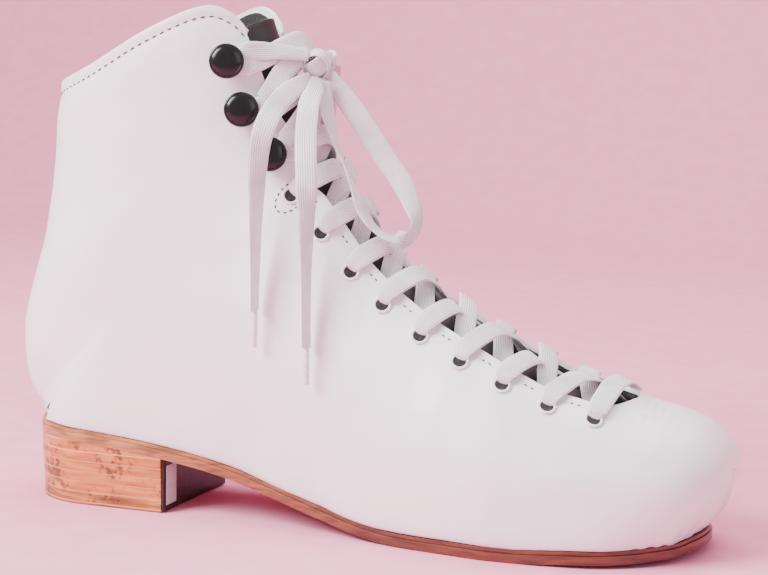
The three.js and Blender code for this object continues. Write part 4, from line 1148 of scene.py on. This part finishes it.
def on_leather(spots, outs):
    """Moves places on the rule's surface to the relief of the finished upper."""
    found = []
    for spot, out in zip(to_frame(spots), outs):
        hit = leather_skin.ray_cast(Vector(spot + out * 4 * MM), Vector(-out), 10 * MM)[0]
        found.append(spot if hit is None else np.array(hit))
    return np.array(found) / MM - pattern_origin


def facing_places(stations_wanted):
    u = np.array([s for s in stations_wanted for _ in (-1, 1)])
    side = np.array([float(d) for _ in stations_wanted for d in (-1, 1)])
    return surface(u, hole_line(u), side), outward(u, hole_line(u), side)


def nodes_named(kind, count):
    return [f"{kind}_{side}_{k + 1}" for side in side_names.values() for k in range(count)]


eyelet_profile = turned("eyelet_profile", [
    (2.3, -1.8), (2.6, -1.8), (2.6, 0.15), (3.3, 0.15), (3.5, 0.4), (3.4, 0.7), (3.0, 0.95),
    (2.7, 0.92), (2.4, 0.6)], 28, closed=True)
# A thin black disc for each eyelet's hole: painted shade in the hole, in the black of the lining
# under it.
bore_profile = turned("bore_profile", [(0.0, 0.0), (2.55, 0.22), (2.55, 0.1), (0.0, -0.1)], 20)
hook_profile = turned("hook_profile", [
    (0, -1.8), (1.6, -1.8), (1.6, 0.15), (4.3, 0.15), (4.5, 0.4), (4.2, 0.75), (2.0, 1.0),
    (1.55, 1.4), (1.55, 4.4), (2.0, 4.85), (3.0, 5.0), (5.7, 4.95), (6.3, 5.15), (6.5, 5.5),
    (6.35, 5.95), (6.0, 6.2), (5.65, 6.22), (5.45, 6.12), (5.1, 6.35), (4.0, 6.75), (2.2, 7.0),
    (0, 7.06)], 40)
at, out_ways = facing_places(eyelet_stations)
at = on_leather(at, out_ways)
rings = grow(marked_points("eyelet_rings", at, out_ways), setting_tree("set_rings", white_enamel),
             piece=eyelet_profile, size=1.0)
finish_piece(rings, "boot", white_enamel, nodes_named("eyelet", 9))
# Each eyelet's hole is a black disc set just above the leather: painted shade in the hole, in the
# black of the lining under it.
hole_shade_discs = grow(marked_points("eyelet_bores", at + out_ways * 0.35, out_ways),
             setting_tree("set_bores", black_lining), piece=bore_profile, size=1.0)
finish_piece(hole_shade_discs, "boot", black_lining)
at, out_ways = facing_places(hook_stations)
hooks = grow(marked_points("lace_hooks", at, out_ways), setting_tree("set_hooks", black_enamel),
             piece=hook_profile, size=1.0)
finish_piece(hooks, "boot", black_enamel, nodes_named("hook", 3))
for master in (eyelet_profile, bore_profile, hook_profile):
    bpy.data.objects.remove(master, do_unlink=True)
print("rings, bores, hooks faces:", [len(o.data.polygons) for o in (rings, hole_shade_discs, hooks)])

# %% [markdown]
# ## The threaded lace
# A flat cotton lace eight millimetres wide goes down through each eyelet, comes out under the
# facing and crosses to the next eyelet on the other side. It lies flat where it crosses, and it
# gathers to a narrow bunch in each eyelet and round each hook. So a lace is a ribbon along key
# points, each with a direction that its flat side faces and a width.

# %% Ribbons
lace_width = 8.0
lace_thickness = 1.1
section_angles = np.linspace(0, math.tau, 14, endpoint=False)


def ribbon(name, keys, material, per_key=7):
    """A flat lace through keys of (point, flat side's direction, width), in pattern millimetres."""
    points = np.array([k[0] for k in keys], float)
    facing = np.array([k[1] for k in keys], float)
    facing /= np.linalg.norm(facing, axis=1, keepdims=True)
    widths = np.array([[k[2]] for k in keys], float)
    for k in range(1, len(facing)):
        if facing[k] @ facing[k - 1] < 0:
            facing[k] *= -1
    t = np.linspace(0, len(keys) - 1, (len(keys) - 1) * per_key + 1)
    line = catmull(points, t)
    flat = catmull(facing, t)
    wide = np.clip(catmull(widths, t)[:, 0], 1.5, lace_width)
    along = np.gradient(line, axis=0)
    along /= np.linalg.norm(along, axis=1, keepdims=True)
    flat -= along * np.sum(flat * along, axis=1, keepdims=True)
    flat /= np.maximum(np.linalg.norm(flat, axis=1, keepdims=True), 1e-6)
    across = np.cross(along, flat)
    thick = lace_thickness * np.sqrt(lace_width / wide) ** 1.1
    c, s = np.cos(section_angles), np.sin(section_angles)
    off = np.sign(c) * np.abs(c) ** 0.55 * 0.5
    rise = np.sign(s) * np.abs(s) ** 0.75 * 0.5
    shape = (line[:, None] + across[:, None] * (off[None, :] * wide[:, None])[..., None]
             + flat[:, None] * (rise[None, :] * thick[:, None])[..., None])
    rings_count, around = len(line), len(section_angles)
    faces = [(i * around + j, i * around + (j + 1) % around,
              (i + 1) * around + (j + 1) % around, (i + 1) * around + j)
             for i in range(rings_count - 1) for j in range(around)]
    faces.append(list(range(around))[::-1])
    faces.append([(rings_count - 1) * around + j for j in range(around)])
    obj = new_object(name, to_frame(shape.reshape(-1, 3)), faces)
    length = np.concatenate([[0], np.cumsum(np.linalg.norm(np.diff(line, axis=0), axis=1))])
    weave_map = obj.data.uv_layers.new(name="weave")
    corner = np.empty(len(obj.data.loops), int)
    obj.data.loops.foreach_get("vertex_index", corner)
    uv = np.stack([off[corner % around] + 0.5, length[corner // around]], -1)
    weave_map.data.foreach_set("uv", uv.reshape(-1).astype(np.float32))
    work = bmesh.new()
    work.from_mesh(obj.data)
    bmesh.ops.recalc_face_normals(work, faces=work.faces)
    work.to_mesh(obj.data)
    work.free()
    obj.data.materials.append(material)
    smooth(obj, 50)
    return obj, line, float(length[-1])


# %% Route of the threaded lace
flange_lift = 1.9
under_lift = -5.6
crossing_lift = 1.7


def on_boot(u, v, side, lift):
    return surface(u, v, side, -lift).reshape(3)


def skyward(u, v, side):
    return outward(np.array([u]), np.array([min(v, 2.97)]), np.array([side])).reshape(3)


def cross_opening(from_u, to_u, from_side, from_lift, rise):
    """Keys across the opening, from the edge of one facing to the edge of the other."""
    middle = crossing_lift * rise
    lifts = (from_lift, (from_lift + flange_lift) / 2 + middle, flange_lift)

    def key(share, v, side, lift):
        u = from_u + (to_u - from_u) * share
        return on_boot(u, v, side, lift), skyward(u, v, side), lace_width

    edge = float(facing_edge(to_u))
    return [key(0.30, 2.88, from_side, lifts[0] + (lifts[1] - lifts[0]) * 0.55),
            key(0.50, 2.999, from_side, lifts[1]),
            key(0.74, 2.88, -from_side, lifts[1] + (lifts[2] - lifts[1]) * 0.65),
            key(0.94, edge, -from_side, lifts[2] + 0.2)]


def round_hook(u, side):
    line = float(hole_line(u))
    at = on_boot(u, line, side, 0)
    out = skyward(u, line, side)
    up = on_boot(u + 0.1, line, side, 0) - on_boot(u - 0.1, line, side, 0)
    up /= np.linalg.norm(up)
    front = np.cross(up, out) * -side
    reach = 2.9
    keys = []
    for forward, upward, width, flat_on in (
            (8.5, -0.95, 7.0, True), (4.0, -1.0, 5.0, False), (0.0, -1.0, 4.2, False),
            (-0.8, -0.7, 4.0, False), (-1.0, 0.0, 4.0, False), (-0.8, 0.7, 4.0, False),
            (0.0, 1.0, 4.2, False), (4.0, 1.0, 5.0, False), (8.5, 0.95, 7.0, True)):
        step = front * (forward if abs(forward) > 1 else forward * reach) + up * upward * reach
        radial = step / max(np.linalg.norm(step), 1e-6)
        facing = out if flat_on else (out * 0.35 + np.array(radial))
        keys.append((at + out * 2.95 + step, facing, width))
    return keys


def lace_run(start_side, rise):
    first = eyelet_stations[0]
    keys = [(on_boot(first, 2.999, start_side, flange_lift + 0.3), skyward(first, 2.97, start_side),
             lace_width)]
    keys[0][0][1] = 0.3017 + start_side * 0.02
    keys.append((on_boot(first, 2.86, start_side, flange_lift + 0.1),
                 skyward(first, 2.86, start_side), lace_width))
    for k, u in enumerate(eyelet_stations):
        side = start_side if k % 2 == 0 else -start_side
        out = skyward(u, eyelet_line, side)
        away = on_boot(u, eyelet_line - 0.05, side, 0) - on_boot(u, eyelet_line + 0.05, side, 0)
        away /= np.linalg.norm(away)
        hole = on_boot(u, eyelet_line, side, 0)
        keys.append((hole + out * 1.75 - away * 4.6, out + away * 0.15, 7.4))
        keys.append((hole + out * 1.25 - away * 2.1, out + away * 0.8, 5.4))
        keys.append((hole - out * 1.6 - away * 0.9, away, 3.1))
        keys.append((hole - out * 5.0 - away * 0.6, away - out * 0.7, 4.0))
        keys.append((on_boot(u + 0.1, float(facing_edge(u)), side, under_lift), -out, 6.6))
        more = k + 1 < len(eyelet_stations)
        following = eyelet_stations[k + 1] if more else hook_stations[0] - 0.35
        keys += cross_opening(u + 0.1, following, side, under_lift, rise)
    for k, u in enumerate(hook_stations):
        side = start_side if (len(eyelet_stations) + k) % 2 == 0 else -start_side
        keys += round_hook(u, side)
        if k + 1 < len(hook_stations):
            edge = float(facing_edge(u + 0.5))
            keys.append((on_boot(u + 0.5, edge + 0.08, side, 2.9), skyward(u + 0.5, edge, side),
                         lace_width))
            keys += cross_opening(u + 0.5, hook_stations[k + 1] - 0.35, side, 2.9, rise)[:-1]
        else:
            end = knot_centre + np.array([-0.5, side * 5.5, 3.0])
            keys.append((end * 0.45 + keys[-1][0] * 0.55 + np.array([0.6, 0, 0.5]),
                         np.array([0.5, side * 0.8, 0.5]), 6.6))
            keys.append((end, np.array([0.8, side * 0.3, 0.3]), 5.0))
    return keys


knot_centre = np.array([112.0, 0.0, 172.0])
for side in (-1, 1):
    lace, _, length = ribbon(f"lace_{side_names[side]}_half", lace_run(side, side), lace_cotton)
    finish_piece(lace, "boot", None, [f"lace_{side_names[side]}"])
    print(lace.name, "mm long:", round(length))

# %% [markdown]
# ## Knot, free ends and bow
# The bow was never pulled tight: both ends hang down the outer side, one loop hangs to the front
# and the other down the inner side. Each is a free cord of limp cotton, so it keeps its own
# length and sags under its weight. A flat lace turns as it hangs, which is why it looks wide in
# one place and thin in another, so each point of a route also has a direction for the flat side.

# %% Free lengths
towards_viewer = Vector((0.37, -0.92, 0.13)).normalized()


def turned_from(direction, degrees):
    """A level direction turned round the upright by some degrees."""
    a = math.radians(degrees)
    return np.array([direction[0] * math.cos(a) - direction[1] * math.sin(a),
                     direction[0] * math.sin(a) + direction[1] * math.cos(a), direction[2]])


def hanging_lace(name, route, turns, widths):
    """A free length of lace. Turns and widths are spread evenly along the route."""
    share = np.linspace(0, 1, len(route))
    angle = np.interp(share, np.linspace(0, 1, len(turns)), turns)
    wide = np.interp(share, np.linspace(0, 1, len(widths)), widths)
    keys = [(point, turned_from(towards_viewer, a), w) for point, a, w in zip(route, angle, wide)]
    piece, line, length = ribbon(name, keys, lace_cotton, per_key=6)
    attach(piece, "boot")
    return piece, line, length


routes = {
    "lace_end_rear": [
        [112.6, -5, 166.4], [111.8, -9.2, 164.7], [108.8, -15, 161.8], [106.8, -20, 158.2],
        [105.6, -25, 153.8], [105, -29.5, 148.5], [104.6, -32.4, 142], [104.4, -33.8, 133],
        [104.4, -34.5, 122.5], [104.4, -35, 112], [104.5, -35.3, 101], [104.5, -35.6, 91],
        [104.6, -35.8, 82]],
    "lace_end_front": [
        [115.2, -4, 166.1], [116, -8.5, 162.4], [116.2, -14, 157.8], [117.3, -18.5, 152.5],
        [118.6, -22.5, 147], [120, -25.7, 140], [121.2, -28, 133.8], [122.2, -30, 126],
        [122.8, -31.2, 118], [123.6, -32.6, 108], [124.2, -34, 98], [124.8, -35.2, 88],
        [125.3, -36.2, 78], [125.8, -37, 70]],
    "bow_loop_front": [
        [117.6, 1.6, 168], [120, 2, 164], [123.2, 2.4, 159.5], [127, 3, 154.5], [131, 3.5, 149],
        [135, 3.5, 143.5], [139.5, 3, 137.5], [144.5, 2.5, 131.5], [149, 1.5, 125.5],
        [152.6, 0, 119], [154.6, -2, 113.2], [153.4, -5, 109], [149.5, -8.5, 107.8],
        [144.8, -11.5, 110], [140.6, -13, 114], [137.4, -13.5, 119], [134.6, -13, 125],
        [131, -12, 132], [127, -10.5, 139], [123.6, -9, 146], [120.8, -7.2, 153],
        [119, -5, 159.5], [117.4, -2.6, 165.2]],
    "bow_loop_inner": [
        [116.4, 7.2, 172.4], [115, 12, 173.6], [111.8, 18, 172.8], [108.8, 24, 169],
        [105.8, 29, 163], [103.8, 32, 155.5], [102.2, 33.6, 147], [100.5, 34.4, 138],
        [98, 34.6, 129], [95, 34.4, 121.5], [90.5, 34.2, 117.5], [86, 34.2, 120],
        [84, 33.8, 127.5], [85, 33.4, 137], [87.6, 33.2, 147], [91.3, 33, 156],
        [96.4, 32, 163], [101.8, 29, 166.4], [106.5, 23, 167.4], [110, 16, 168.4],
        [112.6, 11.4, 168.8], [114.4, 7.4, 168.4]]}
turns = {
    "lace_end_rear": [20, 5, 0, 0, 10, 30, 50, 64, 70, 72],
    "lace_end_front": [10, 0, -6, -4, 5, 20, 52, 66, 70, 68],
    "bow_loop_front": [-30, -12, 0, 8, 14, 20, 60, 100, 76, 60, 84, 72, 40, 20],
    "bow_loop_inner": [150, 165, 180, 185, 190, 180, 160, 175, 190, 190, 200, 180]}
widths = {
    "lace_end_rear": [5, 7.6, 8, 8, 8, 8, 8, 8, 7.5],
    "lace_end_front": [5, 7.6, 8, 8, 8, 8, 8, 8, 7.5],
    "bow_loop_front": [4.6, 7.6, 8, 8, 8, 7.6, 7, 7.6, 8, 8, 7, 4.6],
    "bow_loop_inner": [4.6, 7.6, 8, 8, 8, 7.6, 7, 7.6, 8, 8, 7, 4.6]}
tip_length = 14.0


def lace_tip(name, node, line):
    """A film wound round the end of the lace, carrying on the way the lace hangs."""
    way = Vector(line[-1] - line[-4]).normalized()
    start = Vector(line[-1]) - way * 0.6
    profile = [(0, -0.0), (0.9, 0.0), (1.1, 0.3), (1.12, 6.0), (1.0, tip_length - 0.5),
               (0.7, tip_length), (0, tip_length)]
    tip = turned(name, profile, 16)
    turn = Vector((0, 0, 1)).rotation_difference(way)
    origin = Vector(to_frame(np.array(start)))
    tip.data.transform(Matrix.LocRotScale(origin, turn, None))
    return finish_piece(tip, "boot", tip_film, [node])


for name, route in routes.items():
    cord, line, length = hanging_lace(name + "_ribbon", route, turns[name], widths[name])
    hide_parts(name)
    tips = []
    if name.startswith("lace_end"):
        tips = [lace_tip(name + "_tip", name.replace("lace_end", "lace_tip"), line)]
    print(name, round(length), "mm")

# %% The knot
knot_middle = np.array([113.0, 0.0, 171.5])
knot_reach = np.array([4.6, 6.2, 5.2])
knot_lace_width = 6.8


def knot_band(name, yaw, roll, scale):
    """One turn of lace round the knot, with its end tucked under its start."""
    lean_over = Euler((math.radians(roll), 0, math.radians(yaw))).to_matrix()
    keys = []
    for angle in np.linspace(math.pi, math.pi * 3.15, 17):
        way = np.array(lean_over @ Vector((math.cos(angle), 0, math.sin(angle))))
        tuck = scale * (1 - 0.05 * (angle / math.pi - 1))
        keys.append((knot_middle + way * knot_reach * tuck, way, knot_lace_width))
    return ribbon(name, keys, lace_cotton)[0]


finish_piece(knot_band("knot_outer_turn", 14, 20, 1.0), "boot", None, ["bow_knot"])
finish_piece(knot_band("knot_inner_turn", -35, -52, 0.86), "boot")
print("knot of two turns round", knot_middle)

# %% [markdown]
# ## Stitches
# Dark thread shows along the topline, round the ear's eyelet and in short bars between the
# eyelets. A row of stitches follows a line on the leather, so that line is resampled every stitch
# pitch and Geometry Nodes set one small stitch on each point, turned along the line.

# %% A stitch and a row of them
stitch_width = 0.62


def one_stitch(length):
    """A short thread that dips into the leather at both ends."""
    around, rings = 6, 5
    points, faces = [], []
    for x in np.linspace(-0.5, 0.5, rings):
        swell = math.cos(x * math.pi * 0.86)
        for a in np.linspace(0, math.tau, around, endpoint=False):
            points.append((x * length * MM, math.cos(a) * stitch_width / 2 * swell * MM,
                           (math.sin(a) * 0.28 * swell + 0.32 * swell - 0.2) * MM))
    for r in range(rings - 1):
        for k in range(around):
            faces.append((r * around + k, r * around + (k + 1) % around,
                          (r + 1) * around + (k + 1) % around, (r + 1) * around + k))
    faces.append(list(range(around))[::-1])
    faces.append([(rings - 1) * around + k for k in range(around)])
    return smooth(tidy(new_object("one_stitch", points, faces), 0.001))


def stitch_row(name, u, v, side, pitch, stitch_length):
    """Stitches every pitch millimetres along a line of the surface."""
    line = surface(u, v, side)
    out = outward(u, v, np.full(len(u), side) if np.isscalar(side) else side)
    run = np.concatenate([[0], np.cumsum(np.linalg.norm(np.diff(line, axis=0), axis=1))])
    count = max(1, int(run[-1] / pitch))
    at = (np.arange(count) + 0.5) * run[-1] / count
    spots = np.stack([np.interp(at, run, line[:, k]) for k in range(3)], -1)
    outs = np.stack([np.interp(at, run, out[:, k]) for k in range(3)], -1)
    ahead = np.stack([np.interp(at + 0.5, run, line[:, k]) - np.interp(at - 0.5, run, line[:, k])
                      for k in range(3)], -1)
    obj = marked_points(name, on_leather(spots, outs), outs)
    layer = obj.data.attributes.new("along_way", "FLOAT_VECTOR", "POINT")
    layer.data.foreach_set("vector", ahead.astype(np.float32).reshape(-1))
    thread = one_stitch(stitch_length)
    grow(obj, stitch_row_tree, piece=thread, size=1.0)
    bpy.data.objects.remove(thread, do_unlink=True)
    return finish_piece(obj, "boot", dark_thread)


stitch_row_tree = setting_tree("stitch_row", dark_thread, along_line=True)
topline_places = np.linspace(0.02, 2.58, 200)
for side in (-1, 1):
    u = topline_station(topline_places, 4.2, side)
    row = stitch_row(f"topline_stitches_{side_names[side]}", u, topline_places, float(side),
                     3.3, 2.4)
    print(row.name, len(row.data.polygons))
    ear = eyelet_stations[-1]
    angle = np.linspace(math.radians(70), math.radians(290), 40)
    reach_u = 0.40
    reach_v = 0.085
    stitch_row(f"ear_stitches_{side_names[side]}", ear + reach_u * np.sin(angle),
               eyelet_line + reach_v * np.cos(angle), float(side), 2.3, 1.6)
    bar_u = np.array([(a + b) / 2 for a, b in zip(eyelet_stations, eyelet_stations[1:])])
    for k, u_bar in enumerate(bar_u):
        edge = float(facing_edge(u_bar)) - 0.055
        stitch_row(f"facing_stitch_{side_names[side]}_{k + 1}",
                   np.linspace(u_bar - 0.16, u_bar + 0.16, 5), np.full(5, edge), float(side),
                   2.0, 1.5)
